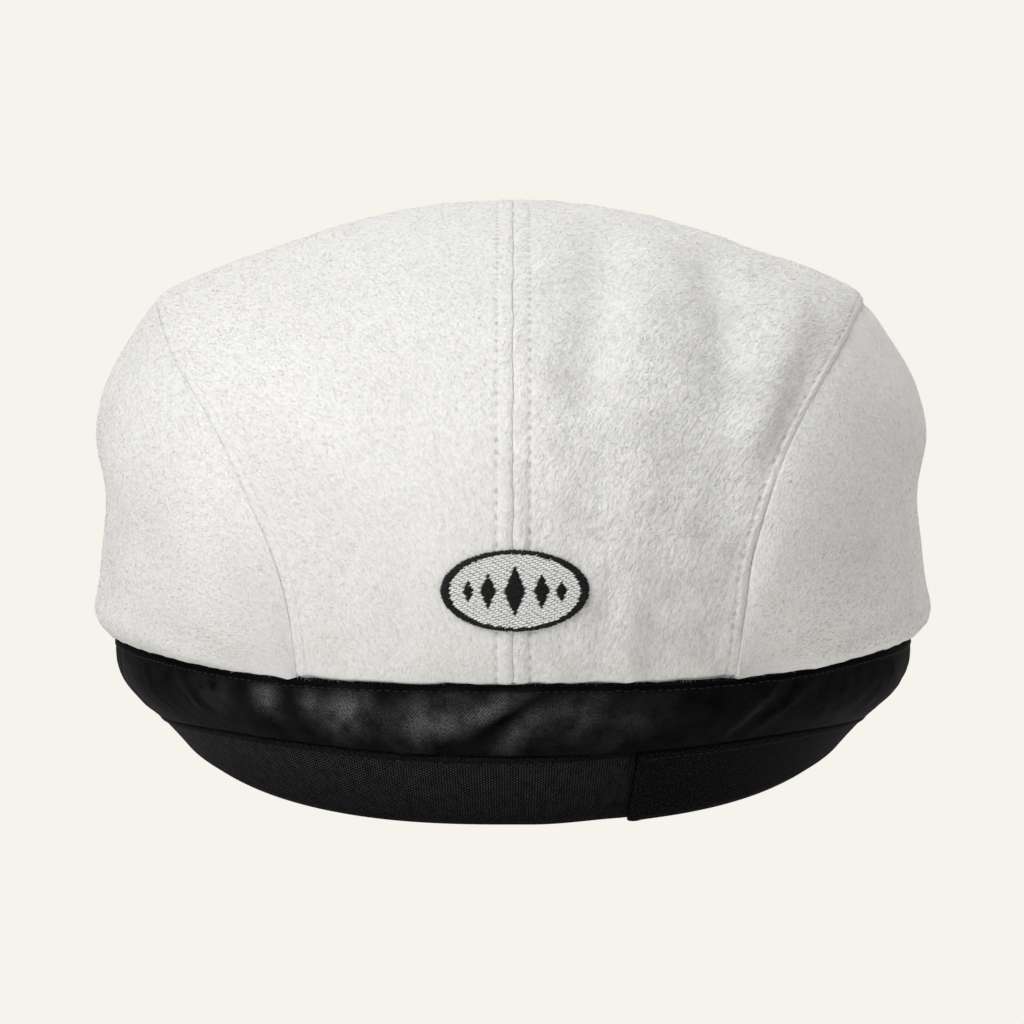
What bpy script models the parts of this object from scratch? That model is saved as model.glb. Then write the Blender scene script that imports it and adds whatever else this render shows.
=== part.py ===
"""A flat cap, built from its real pieces in metres.

+Y points to the peak, +X to the wearer's right and +Z up. The origin is the centre of the
head opening, at half the height of the sweatband. The crown is four cloth panels: each is
lofted through the stations of one table, from the back rim over the top to the peak.
"""

from typing import NamedTuple

import bmesh
import bpy
import numpy as np

# Walls and the gap that neighbouring pieces keep
GAP = 0.0003
CLOTH = 0.0025
SATIN = 0.0010
RIBBON = 0.0014
PEAK_BOARD = 0.0040
PATCH = 0.0010

# How finely each piece is divided
STATION_ROWS = 32
TOP_COLUMNS = 13
SIDE_COLUMNS = 9
BAND_SIDES = 120
BAND_ROWS = 5
RIBBON_COLUMNS = 78
RIBBON_ROWS = 3
PEAK_ROWS = 30
PEAK_COLUMNS = 6
PATCH_COLUMNS = 12
PATCH_ROWS = 8


class Station(NamedTuple):
    """One section of the crown: its middle, its two side seams, and where its side panel ends."""

    middle_y: float
    middle_z: float
    left_seam_x: float
    right_seam_x: float
    seam_y: float
    seam_z: float
    hem_angle: float


class HemPoint(NamedTuple):
    """One point of the crown's lower edge, by its angle from the back."""

    angle: float
    x: float
    y: float
    z: float


class Fold(NamedTuple):
    """A soft ridge, or a dent where height is below zero, between two points of the back view."""

    start_x: float
    start_z: float
    end_x: float
    end_z: float
    width: float
    height: float


class Gather(NamedTuple):
    """A slanting wave of the satin band, by the angles where it crosses the top and the bottom."""

    top_angle: float
    bottom_angle: float
    width: float
    height: float


class Ring(NamedTuple):
    """An oval round the head: half its width, and its reach to the back and to the front."""

    half_width: float
    back: float
    front: float


class BandLevel(NamedTuple):
    """The heights of the two lower oval edges at one angle from the back."""

    angle: float
    joint_z: float
    foot_z: float


STATIONS = (
    Station(-0.1100, 0.0243, 0.0500, 0.0520, -0.0940, 0.0237, 31),
    Station(-0.1150, 0.0340, 0.0512, 0.0534, -0.0995, 0.0370, 38),
    Station(-0.1180, 0.0500, 0.0547, 0.0552, -0.1025, 0.0520, 45),
    Station(-0.1170, 0.0680, 0.0618, 0.0600, -0.0985, 0.0680, 52),
    Station(-0.1110, 0.0850, 0.0706, 0.0674, -0.0850, 0.0835, 60),
    Station(-0.0970, 0.1020, 0.0800, 0.0762, -0.0640, 0.0960, 68),
    Station(-0.0760, 0.1158, 0.0862, 0.0840, -0.0340, 0.1055, 76),
    Station(-0.0470, 0.1266, 0.0895, 0.0880, -0.0040, 0.1074, 85),
    Station(-0.0120, 0.1321, 0.0901, 0.0894, 0.0200, 0.1024, 94),
    Station(0.0280, 0.1288, 0.0898, 0.0896, 0.0400, 0.0920, 103),
    Station(0.0640, 0.1130, 0.0890, 0.0890, 0.0560, 0.0765, 111),
    Station(0.0950, 0.0890, 0.0883, 0.0883, 0.0675, 0.0580, 119),
    Station(0.1180, 0.0600, 0.0868, 0.0868, 0.0755, 0.0390, 126),
    Station(0.1330, 0.0277, 0.0850, 0.0850, 0.0790, 0.0217, 132),
)
LAST_STATION = len(STATIONS) - 1
SECTION_POWER = 2.17
SIDE_START = 0.11
CORNER_GAPS = 2.0

HEM = (
    HemPoint(0, 0.0000, -0.1100, 0.0243),
    HemPoint(31, 0.0515, -0.0940, 0.0237),
    HemPoint(45, 0.0708, -0.0775, 0.0241),
    HemPoint(60, 0.0866, -0.0550, 0.0249),
    HemPoint(75, 0.0969, -0.0280, 0.0247),
    HemPoint(90, 0.1003, 0.0000, 0.0242),
    HemPoint(105, 0.0981, 0.0280, 0.0238),
    HemPoint(120, 0.0932, 0.0540, 0.0225),
    HemPoint(132, 0.0850, 0.0790, 0.0217),
)

# How far the side panel stands out from the straight line between seam and hem, first towards
# the back of the cap, where it is plainly round, and then beside the head, where it has a waist
BULGE_AT = (0.0, 0.1, 0.2, 0.3, 0.42, 0.55, 0.7, 0.87, 0.95, 1.0)
BACK_BULGE = (0.0, 0.0040, 0.0068, 0.0084, 0.0094, 0.0096, 0.0088, 0.0060, 0.0042, 0.0)
BULGE = (0.0, 0.0042, 0.0082, 0.0102, 0.0100, 0.0064, 0.0053, 0.0052, 0.0042, 0.0)
BULGE_SPAN = 0.085
BULGE_TURNS_AT = 3.5
BULGE_TURN = 3.5

CROWN_FOLDS = (
    Fold(0.0145, 0.126, 0.0120, 0.096, 0.0075, -0.0014),
    Fold(0.0230, 0.122, 0.0300, 0.100, 0.0080, 0.0010),
    Fold(0.0440, 0.120, 0.0500, 0.098, 0.0080, -0.0010),
    Fold(0.0660, 0.106, 0.0540, 0.082, 0.0070, 0.0011),
    Fold(0.0780, 0.104, 0.0740, 0.092, 0.0050, -0.0006),
    Fold(-0.0440, 0.050, -0.0300, 0.062, 0.0160, -0.0006),
)
FOLDS_END_Y = -0.020
FOLDS_FADE = 0.040

GATHERS = (
    Gather(-62, -66, 5.5, 0.0009),
    Gather(-48, -44, 5.0, 0.0012),
    Gather(-36, -39, 4.0, 0.0014),
    Gather(-27, -24, 3.6, 0.0011),
    Gather(-18, -21, 3.6, 0.0012),
    Gather(1, -13, 4.0, 0.0016),
    Gather(7, -6, 3.4, -0.0012),
    Gather(14, 17, 4.5, 0.0008),
    Gather(33, 28, 4.5, 0.0010),
    Gather(52, 40, 5.0, -0.0009),
    Gather(66, 70, 5.5, 0.0009),
)

BAND_TOP = Ring(0.0993, 0.1090, 0.1010)
BAND_JOINT = Ring(0.0897, 0.1050, 0.0980)
BAND_FOOT = Ring(0.0824, 0.0990, 0.0940)
BAND_BULGE_BACK = 0.0014
BAND_BULGE_SIDE = 0.0038
BAND_LEVELS = (
    BandLevel(0, 0.0074, -0.0096),
    BandLevel(20, 0.0077, -0.0095),
    BandLevel(45, 0.0084, -0.0069),
    BandLevel(70, 0.0066, -0.0023),
    BandLevel(90, 0.0052, -0.0006),
    BandLevel(135, 0.0080, -0.0025),
    BandLevel(180, 0.0110, -0.0035),
)
PEAK_STARTS_AT = 105
BAND_BELOW_PEAK_TOP = 0.0015

RIBBON_INSET = 0.0006
LAP_ANGLE = 19.0
LAP_LENGTH = 7.0
LAP_RAMP = 16.0

PEAK_CREST = 0.0319
PEAK_ARCH = 0.0156
PEAK_ARCH_AT = 0.0910
PEAK_SLOPE = 0.0080 / 0.0580
PEAK_CREST_Y = 0.1000
PEAK_CORNER = 66.0
PEAK_INNER = Ring(0.0999, 0.1100, 0.1016)
PEAK_OUTLINE_Y = 0.0400
PEAK_OUTLINE_WIDTH = 0.0945
PEAK_OUTLINE_REACH = 0.1180
PEAK_OUTLINE_CORNER = 88.0
PEAK_EDGE_START = 0.80
PEAK_EDGE_LEFT = 0.30
PEAK_END_LEFT = 0.40
PEAK_END_LENGTH = 0.14

PATCH_X = 0.0004
PATCH_Z = 0.0468
PATCH_HALF_WIDTH = 0.01675
PATCH_HALF_HEIGHT = 0.0093

WHITE_CLOTH = (0.83, 0.825, 0.805)
BLACK_SATIN = (0.016, 0.016, 0.018)
BLACK_RIBBON = (0.009, 0.009, 0.010)
PATCH_GREY = (0.56, 0.555, 0.54)


def smooth(knots, rows, at):
    """Reads a natural cubic spline through a table's rows, at one place or many."""
    knots = np.asarray(knots, float)
    rows = np.asarray(rows, float)
    spans = np.diff(knots)
    system = np.eye(len(knots))
    right = np.zeros_like(rows)
    for i in range(1, len(knots) - 1):
        system[i, i - 1 : i + 2] = spans[i - 1], 2 * (spans[i - 1] + spans[i]), spans[i]
        right[i] = 6 * ((rows[i + 1] - rows[i]) / spans[i] - (rows[i] - rows[i - 1]) / spans[i - 1])
    bend = np.linalg.solve(system, right)
    at = np.asarray(at, float)
    index = np.clip(np.searchsorted(knots, at, side="right") - 1, 0, len(spans) - 1)
    span = spans[index][..., None]
    done = at[..., None] - knots[index][..., None]
    left = span - done
    return (
        (bend[index] * left**3 + bend[index + 1] * done**3) / (6 * span)
        + (rows[index] / span - bend[index] * span / 6) * left
        + (rows[index + 1] / span - bend[index + 1] * span / 6) * done
    )


def unit(vectors):
    return vectors / np.linalg.norm(vectors, axis=-1, keepdims=True)


def eased(value):
    """Runs smoothly from 0 to 1 as the value does."""
    value = np.clip(value, 0, 1)
    return value * value * (3 - 2 * value)


def normal_of(surface, side, first, second, step=0.001):
    """The outward normals of a crown surface, from points a small step apart."""
    along = surface(side, first + step, second) - surface(side, first - step, second)
    across = surface(side, first, second + step) - surface(side, first, second - step)
    return unit(np.cross(across, along) * side)


def section(side, station):
    """The middle point, seam point and hem angle of the section at a station."""
    row = smooth(range(len(STATIONS)), STATIONS, station)
    seam_x = row[..., 3] if side > 0 else row[..., 2]
    zero = np.zeros_like(seam_x)
    middle = np.stack([zero, row[..., 0], row[..., 1]], -1)
    seam = np.stack([side * seam_x, row[..., 4], row[..., 5]], -1)
    return middle, seam, row[..., 6]


def hem_point(side, angle):
    """A point of the crown's lower edge."""
    table = np.array(HEM)
    return smooth(table[:, 0], table[:, 1:], angle) * (side, 1, 1)


def top_surface(side, station, across):
    """The outer face of a top panel, from the centre seam (0) to the side seam (1)."""
    middle, seam, _ = section(side, station)
    across = np.asarray(across, float)[..., None]
    sideways = np.concatenate([across, *[np.abs(across) ** SECTION_POWER] * 2], -1)
    return middle + (seam - middle) * sideways


def side_surface(side, station, down):
    """The outer face of a side panel, from the side seam (0) to the hem (1)."""
    _, seam, angle = section(side, station)
    hem = hem_point(side, angle)
    along = hem_point(side, angle + 1) - hem_point(side, angle - 1)
    outward = unit(np.stack([along[..., 1], -along[..., 0], np.zeros_like(angle)], -1) * side)
    both = smooth(BULGE_AT, np.array((BACK_BULGE, BULGE)).T, down)
    beside = eased((np.asarray(station, float) - BULGE_TURNS_AT) / BULGE_TURN)
    bulge = (both[..., 0] * (1 - beside) + both[..., 1] * beside)[..., None]
    bulge = bulge * np.linalg.norm(hem - seam, axis=-1, keepdims=True) / BULGE_SPAN
    down = np.asarray(down, float)[..., None]
    return seam * (1 - down) + hem * down + outward * bulge


def seam_direction(side, station):
    """The direction through the cloth at the side seam, so that both panels keep their wall."""
    clear = np.clip(station, 0.3, LAST_STATION - 0.3)
    top = normal_of(top_surface, side, clear, np.ones_like(clear))
    lower = normal_of(side_surface, side, clear, np.zeros_like(clear))
    middle = unit(top + lower)
    from_end = np.minimum(station, LAST_STATION - station) * STATION_ROWS / LAST_STATION
    level = np.clip(from_end, 0, 1)[..., None]
    slant = np.concatenate([middle[..., :2], middle[..., 2:] * level], -1)
    return unit(slant) / (middle * top).sum(-1, keepdims=True)


def peak_height(x, y):
    """The height of the peak's upper face, arched across and sloping down to the front."""
    return PEAK_CREST - PEAK_ARCH * (x / PEAK_ARCH_AT) ** 2 - PEAK_SLOPE * (y - PEAK_CREST_Y)


def resting_on_peak(points):
    """Lifts cloth that would sink into the peak."""
    lifted = np.maximum(points[..., 2], peak_height(points[..., 0], points[..., 1]) + GAP)
    points[..., 2] = np.where(points[..., 1] > PEAK_OUTLINE_Y - 0.005, lifted, points[..., 2])
    return points


def fold_relief(points):
    """How far the crown's folds push each point out, faded away past the top."""
    relief = np.zeros(points.shape[:-1])
    place = points[..., [0, 2]]
    for fold in CROWN_FOLDS:
        start = np.array((fold.start_x, fold.start_z))
        run = np.array((fold.end_x, fold.end_z)) - start
        share = np.clip((place - start) @ run / (run @ run), 0, 1)
        away = np.linalg.norm(place - start - share[..., None] * run, axis=-1)
        relief += fold.height * np.exp(-((away / fold.width) ** 2))
    return relief * eased((FOLDS_END_Y - points[..., 1]) / FOLDS_FADE)


def flat_at_hem(directions, at_hem):
    """Turns the direction through the cloth level at the lower edge."""
    level = unit(directions * (1, 1, 0))
    return np.where(at_hem[..., None], level, directions)


def top_wall(side):
    """The place of each point of a top panel's solid."""

    def place(across, along, depth):
        station = along * LAST_STATION
        middle, seam, _ = section(side, station)
        inset = GAP / 2 / np.linalg.norm(seam - middle, axis=-1)
        share = across * (1 - inset)
        outer = top_surface(side, station, share)
        direction = normal_of(top_surface, side, station, share)
        direction = np.where((across == 0)[..., None], unit(direction * (0, 1, 1)), direction)
        direction = np.where((across == 1)[..., None], seam_direction(side, station), direction)
        direction = flat_at_hem(direction, (along == 0) | (along == 1))
        outer[..., 0] += side * GAP / 2 * (1 - across)
        outer += direction * fold_relief(outer)[..., None]
        return resting_on_peak(outer - direction * CLOTH * depth[..., None])

    return place


def side_wall(side):
    """The place of each point of a side panel's solid."""

    def place(across, along, depth):
        station = np.clip(along * LAST_STATION, SIDE_START, LAST_STATION - SIDE_START)
        _, seam, angle = section(side, station)
        at_corner = (along == 0) | (along == 1)
        clear = GAP * np.where(at_corner, CORNER_GAPS, 0.5)
        inset = clear / np.linalg.norm(seam - hem_point(side, angle), axis=-1)
        share = inset + across * (1 - inset)
        outer = side_surface(side, station, share)
        direction = normal_of(side_surface, side, station, share)
        by_seam = (across == 0) | at_corner
        direction = np.where(by_seam[..., None], seam_direction(side, station), direction)
        direction = flat_at_hem(direction, across == 1)
        return resting_on_peak(outer - direction * CLOTH * depth[..., None])

    return place


def ring_point(ring, angle):
    """A point of an oval in plan, by its angle in degrees from the back."""
    turn = np.radians(angle)
    reach = np.where(np.cos(turn) > 0, ring.back, ring.front)
    return np.stack([ring.half_width * np.sin(turn), -reach * np.cos(turn)], -1)


def band_level(angle, column):
    """The height of one of the lower oval edges, equal on both sides."""
    table = np.array(BAND_LEVELS)
    mirrored = np.vstack([table[1] * (-1, 1, 1), table, table[-2] * (-1, 1, 1) + (360, 0, 0)])
    turn = np.abs((np.asarray(angle, float) + 180) % 360 - 180)
    return smooth(mirrored[:, 0], mirrored[:, column : column + 1], turn)


def band_top_level(angle):
    """The height of the satin band's upper edge: under the hem, then along the peak's board."""
    turn = np.abs((np.asarray(angle, float) + 180) % 360 - 180)
    table = np.array(HEM)
    below_hem = smooth(table[:, 0], table[:, 3:], np.minimum(turn, table[-1, 0])) - GAP
    plan = ring_point(BAND_TOP, turn)
    by_peak = peak_height(plan[..., :1], plan[..., 1:]) - BAND_BELOW_PEAK_TOP
    return np.where(turn[..., None] < PEAK_STARTS_AT, below_hem, by_peak)


def gather_relief(angle, down):
    """How far the satin's gathers push each point out, still at both edges."""
    turn = (np.asarray(angle, float) + 180) % 360 - 180
    relief = np.zeros(np.shape(turn))
    for gather in GATHERS:
        middle = gather.top_angle + (gather.bottom_angle - gather.top_angle) * down
        relief += gather.height * np.exp(-(((turn - middle) / gather.width) ** 2))
    return relief * np.sin(np.pi * np.clip(down, 0.02, 0.98)) ** 0.7


def satin_surface(angle, down):
    """The outer face of the satin band."""
    top = np.concatenate([ring_point(BAND_TOP, angle), band_top_level(angle)], -1)
    joint = np.concatenate([ring_point(BAND_JOINT, angle), band_level(angle, 1)], -1)
    share = np.asarray(down, float)[..., None]
    beside = np.sin(np.radians(angle))[..., None] ** 2
    bulge = (BAND_BULGE_BACK + (BAND_BULGE_SIDE - BAND_BULGE_BACK) * beside) * np.sin(np.pi * share)
    outward = unit(ring_point(BAND_TOP, angle)) * bulge
    relief = unit(ring_point(BAND_TOP, angle)) * gather_relief(angle, down)[..., None]
    moved = top * (1 - share) + joint * share
    moved[..., :2] += outward + relief
    return moved


def ribbon_surface(angle, down):
    """The outer face of the sweatband, before its ends lap."""
    start = ring_point(BAND_JOINT, angle)
    top = np.concatenate([start - unit(start) * RIBBON_INSET, band_level(angle, 1) - GAP], -1)
    foot = np.concatenate([ring_point(BAND_FOOT, angle), band_level(angle, 2)], -1)
    share = np.asarray(down, float)[..., None]
    return top * (1 - share) + foot * share


def inward(surface, angle, down):
    """The direction from an oval band's outer face into its wall."""
    around = surface(angle + 0.5, down) - surface(angle - 0.5, down)
    along = surface(angle, down + 0.01) - surface(angle, down - 0.01)
    return unit(np.cross(around, along))


def satin_wall(angle, down, depth):
    """The place of each point of the satin band's solid."""
    through = inward(satin_surface, angle, down)
    return satin_surface(angle, down) + through * SATIN * depth[..., None]


def ribbon_wall(across, along, depth):
    """The place of each point of the sweatband's solid, one strip whose ends lap at the back."""
    angle = LAP_ANGLE + along * (360 + LAP_LENGTH)
    through = inward(ribbon_surface, angle, across)
    under = eased((angle - (360 + LAP_ANGLE - LAP_RAMP)) / (LAP_RAMP - 2)) * (RIBBON + GAP)
    return ribbon_surface(angle, across) + through * (RIBBON * depth + under)[..., None]


def peak_wall(across, along, depth):
    """The place of each point of the peak's solid, a crescent from corner to corner."""
    share = 2 * along - 1
    inner = ring_point(PEAK_INNER, 180 - share * PEAK_CORNER)
    turn = np.radians(share * PEAK_OUTLINE_CORNER)
    outline_x = PEAK_OUTLINE_WIDTH * np.sin(turn)
    outline_y = PEAK_OUTLINE_Y + PEAK_OUTLINE_REACH * np.cos(turn)
    outer = np.stack([outline_x, outline_y], -1)
    plan = inner * (1 - across[..., None]) + outer * across[..., None]
    edge = np.clip((across - PEAK_EDGE_START) / (1 - PEAK_EDGE_START), 0, 1)
    half = PEAK_BOARD / 2 * (PEAK_EDGE_LEFT + (1 - PEAK_EDGE_LEFT) * np.sqrt(1 - edge**2))
    half *= PEAK_END_LEFT + (1 - PEAK_END_LEFT) * eased((1 - np.abs(share)) / PEAK_END_LENGTH)
    middle = peak_height(plan[..., 0], plan[..., 1]) - PEAK_BOARD / 2
    return np.concatenate([plan, (middle + half * (1 - 2 * depth))[..., None]], -1)


def back_place(x, z):
    """The station and share across of the crown's back under each point of the back view."""
    rows = np.linspace(0, 8, 400)
    heights = section(1, rows)[0][:, 2]
    side = np.where(x < 0, -1, 1)
    station = np.interp(z, heights, rows)
    across = np.zeros_like(station)
    for _ in range(8):
        middle, left_seam, _ = section(-1, station)
        right_seam = section(1, station)[1]
        seam = np.where((side < 0)[..., None], left_seam, right_seam)
        across = np.abs(x / seam[..., 0])
        rise = across**SECTION_POWER * (seam[..., 2] - middle[..., 2])
        station = np.interp(z - rise, heights, rows)
    return side, station, across


def patch_wall(across, along, depth):
    """The place of each point of the badge's solid, an oval laid on the back."""
    first, second = 2 * across - 1, 2 * along - 1
    x = PATCH_X + PATCH_HALF_WIDTH * first * np.sqrt(1 - second**2 / 2)
    z = PATCH_Z + PATCH_HALF_HEIGHT * second * np.sqrt(1 - first**2 / 2)
    side, station, share = back_place(x, z)
    left = (side < 0)[..., None]
    place = np.where(left, top_surface(-1, station, share), top_surface(1, station, share))
    left_normal = normal_of(top_surface, -1, station, share)
    right_normal = normal_of(top_surface, 1, station, share)
    lift = GAP + PATCH * (1 - depth)
    return place + np.where(left, left_normal, right_normal) * lift[..., None]


def clear_scene():
    """Removes what the scene holds."""
    for thing in list(bpy.data.objects):
        bpy.data.objects.remove(thing, do_unlink=True)


def material(name, color, roughness):
    """A plain cloth material."""
    made = bpy.data.materials.new(name)
    made.use_nodes = True
    made.diffuse_color = (*color, 1)
    shader = made.node_tree.nodes["Principled BSDF"]
    shader.inputs["Base Color"].default_value = (*color, 1)
    shader.inputs["Roughness"].default_value = roughness
    shader.inputs["Metallic"].default_value = 0.0
    return made


def thickened(thing, thickness):
    """The object's open surface made solid, as a mesh of its own."""
    solidify = thing.modifiers.new("Wall", "SOLIDIFY")
    solidify.thickness = thickness
    solidify.offset = -1
    graph = bpy.context.evaluated_depsgraph_get()
    solid = bpy.data.meshes.new_from_object(thing.evaluated_get(graph))
    thing.modifiers.remove(solidify)
    thing.data = solid
    return solid


def points_of(mesh):
    """The mesh's points as an array."""
    points = np.empty(len(mesh.vertices) * 3)
    mesh.vertices.foreach_get("co", points)
    return points.reshape(-1, 3)


def finish(thing, name, points, finish_material, collection):
    """Moves the points to their places, turns the faces out and files the object."""
    mesh = thing.data
    mesh.vertices.foreach_set("co", points.ravel())
    shaped = bmesh.new()
    shaped.from_mesh(mesh)
    bmesh.ops.recalc_face_normals(shaped, faces=shaped.faces)
    shaped.to_mesh(mesh)
    shaped.free()
    mesh.shade_smooth()
    mesh.materials.clear()
    mesh.materials.append(finish_material)
    thing.name = name
    mesh.name = name
    for holder in list(thing.users_collection):
        holder.objects.unlink(thing)
    collection.objects.link(thing)
    return thing


def solid_sheet(name, columns, rows, place, finish_material, collection):
    """A grid made one unit thick, then each point moved by place(across, along, depth)."""
    bpy.ops.mesh.primitive_grid_add(x_subdivisions=columns, y_subdivisions=rows, size=1)
    sheet = bpy.context.object
    points = points_of(thickened(sheet, 1))
    across = np.clip(points[:, 0] + 0.5, 0, 1)
    along = np.clip(points[:, 1] + 0.5, 0, 1)
    depth = np.round(-points[:, 2])
    return finish(sheet, name, place(across, along, depth), finish_material, collection)


def solid_tube(name, sides, rows, place, finish_material, collection):
    """A tube made half a unit thick, then each point moved by place(angle, down, depth)."""
    bpy.ops.mesh.primitive_cylinder_add(vertices=sides, radius=1, depth=1, end_fill_type="NOTHING")
    tube = bpy.context.object
    shaped = bmesh.new()
    shaped.from_mesh(tube.data)
    upright = [e for e in shaped.edges if abs(e.verts[0].co.z - e.verts[1].co.z) > 0.5]
    bmesh.ops.subdivide_edges(shaped, edges=upright, cuts=rows - 1, use_grid_fill=True)
    shaped.to_mesh(tube.data)
    shaped.free()
    points = points_of(thickened(tube, 0.5))
    angle = np.degrees(np.arctan2(points[:, 0], -points[:, 1]))
    down = 0.5 - points[:, 2]
    depth = np.where(np.hypot(points[:, 0], points[:, 1]) < 0.8, 1.0, 0.0)
    return finish(tube, name, place(angle, down, depth), finish_material, collection)


def main():
    clear_scene()
    cap = bpy.data.collections.new("flat_cap")
    bpy.context.scene.collection.children.link(cap)
    white = material("white_fleece", WHITE_CLOTH, 0.95)
    satin = material("black_satin", BLACK_SATIN, 0.42)
    ribbon = material("black_ribbon", BLACK_RIBBON, 0.85)
    thread = material("badge_thread", PATCH_GREY, 0.70)
    for side, word in ((-1, "left"), (1, "right")):
        solid_sheet(f"top_panel_{word}", TOP_COLUMNS, STATION_ROWS, top_wall(side), white, cap)
        solid_sheet(f"side_panel_{word}", SIDE_COLUMNS, STATION_ROWS, side_wall(side), white, cap)
    solid_tube("satin_band", BAND_SIDES, BAND_ROWS, satin_wall, satin, cap)
    solid_sheet("sweatband", RIBBON_ROWS, RIBBON_COLUMNS, ribbon_wall, ribbon, cap)
    solid_sheet("peak", PEAK_COLUMNS, PEAK_ROWS, peak_wall, white, cap)
    solid_sheet("badge", PATCH_COLUMNS, PATCH_ROWS, patch_wall, thread, cap)


if __name__ == "__main__":
    main()
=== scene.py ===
"""The look of a flat cap seen from behind: fleece panels, satin band, ribbed sweatband, badge.

All sizes are in metres, in the part's own frame: +Y points to the peak, +X to the wearer's
right and +Z up. Angles round the head are in degrees from the back, growing to the right.
"""

import logging
import math
from collections.abc import Callable
from dataclasses import dataclass, field
from enum import Enum
from typing import ClassVar, NamedTuple

import bpy
import numpy as np
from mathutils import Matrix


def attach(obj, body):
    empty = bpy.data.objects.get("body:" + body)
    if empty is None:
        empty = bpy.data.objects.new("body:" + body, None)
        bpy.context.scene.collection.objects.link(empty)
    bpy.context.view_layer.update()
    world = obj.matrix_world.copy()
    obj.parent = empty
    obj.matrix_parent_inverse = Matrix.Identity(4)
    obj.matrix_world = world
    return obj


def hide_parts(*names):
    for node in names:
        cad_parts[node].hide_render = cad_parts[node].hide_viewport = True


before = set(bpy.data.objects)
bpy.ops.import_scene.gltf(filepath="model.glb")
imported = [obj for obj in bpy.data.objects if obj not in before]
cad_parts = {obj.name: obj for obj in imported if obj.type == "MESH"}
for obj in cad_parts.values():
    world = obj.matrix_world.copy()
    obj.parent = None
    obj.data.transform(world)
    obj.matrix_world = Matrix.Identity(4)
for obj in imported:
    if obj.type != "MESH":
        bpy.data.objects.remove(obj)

log = logging.getLogger("flat_cap")

Array = np.ndarray
Color = tuple[float, float, float]
Form = Callable[..., Array]
Thing = bpy.types.Object
Material = bpy.types.Material
Socket = bpy.types.NodeSocket

CLOTH_MAP = "cloth"
# The layer that carries the satin's painted sheen.
PAINTED_SHEEN_LAYER = "sheen"
# Marks the stitched rows, where the fleece's colour carries painted shade in the needle holes.
ROW_LAYER = "stitched_row"
STITCH_PITCH = 0.0030
GAP = 0.0003
PLAIN = (1.0, 1.0, 1.0)
UPWARDS = (0.0, 0.0, 1.0)


class Side(Enum):
    """The two sides of the cap, as the sign of X."""

    LEFT = -1
    RIGHT = 1

    @property
    def word(self) -> str:
        """The side as a word for piece names."""
        return self.name.lower()


class Station(NamedTuple):
    """One section of the crown: its middle, its two side seams, and where its side panel ends."""

    middle_y: float
    middle_z: float
    left_seam_x: float
    right_seam_x: float
    seam_y: float
    seam_z: float
    hem_angle: float


class HemPoint(NamedTuple):
    """One point of the crown's lower edge, by its angle from the back."""

    angle: float
    x: float
    y: float
    z: float


class Fold(NamedTuple):
    """A soft ridge, or a dent where height is below zero, between two points of the back view."""

    start_x: float
    start_z: float
    end_x: float
    end_z: float
    width: float
    height: float


class Gather(NamedTuple):
    """A slanting wave of the satin band, by the angles where it crosses the top and the bottom."""

    top_angle: float
    bottom_angle: float
    width: float
    height: float


class Crease(NamedTuple):
    """A short soft pucker of the satin: its ends as angle and share down, its width and height."""

    start_angle: float
    start_down: float
    end_angle: float
    end_down: float
    width: float
    height: float


class Sheen(NamedTuple):
    """A soft patch of painted sheen on the satin, or of painted shade where strength is below zero."""

    angle: float
    down: float
    wide: float
    tall: float
    slant: float
    strength: float


class Ring(NamedTuple):
    """An oval round the head: half its width, and its reach to the back and to the front."""

    half_width: float
    back: float
    front: float


class BandLevel(NamedTuple):
    """The heights of the two lower oval edges at one angle from the back."""

    angle: float
    joint_z: float
    foot_z: float


class NapWay(NamedTuple):
    """The way the fleece is brushed round one point of the back view, in degrees from level."""

    x: float
    z: float
    turn: float


STATIONS = (
    Station(-0.1100, 0.0243, 0.0500, 0.0520, -0.0940, 0.0237, 31),
    Station(-0.1150, 0.0340, 0.0512, 0.0534, -0.0995, 0.0370, 38),
    Station(-0.1180, 0.0500, 0.0547, 0.0552, -0.1025, 0.0520, 45),
    Station(-0.1170, 0.0680, 0.0618, 0.0600, -0.0985, 0.0680, 52),
    Station(-0.1110, 0.0850, 0.0706, 0.0674, -0.0850, 0.0835, 60),
    Station(-0.0970, 0.1020, 0.0800, 0.0762, -0.0640, 0.0960, 68),
    Station(-0.0760, 0.1158, 0.0862, 0.0840, -0.0340, 0.1055, 76),
    Station(-0.0470, 0.1266, 0.0895, 0.0880, -0.0040, 0.1074, 85),
    Station(-0.0120, 0.1321, 0.0901, 0.0894, 0.0200, 0.1024, 94),
    Station(0.0280, 0.1288, 0.0898, 0.0896, 0.0400, 0.0920, 103),
    Station(0.0640, 0.1130, 0.0890, 0.0890, 0.0560, 0.0765, 111),
    Station(0.0950, 0.0890, 0.0883, 0.0883, 0.0675, 0.0580, 119),
    Station(0.1180, 0.0600, 0.0868, 0.0868, 0.0755, 0.0390, 126),
    Station(0.1330, 0.0277, 0.0850, 0.0850, 0.0790, 0.0217, 132),
)

HEM = (
    HemPoint(0, 0.0000, -0.1100, 0.0243),
    HemPoint(31, 0.0515, -0.0940, 0.0237),
    HemPoint(45, 0.0708, -0.0775, 0.0241),
    HemPoint(60, 0.0866, -0.0550, 0.0249),
    HemPoint(75, 0.0969, -0.0280, 0.0247),
    HemPoint(90, 0.1003, 0.0000, 0.0242),
    HemPoint(105, 0.0981, 0.0280, 0.0238),
    HemPoint(120, 0.0932, 0.0540, 0.0225),
    HemPoint(132, 0.0850, 0.0790, 0.0217),
)

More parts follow.
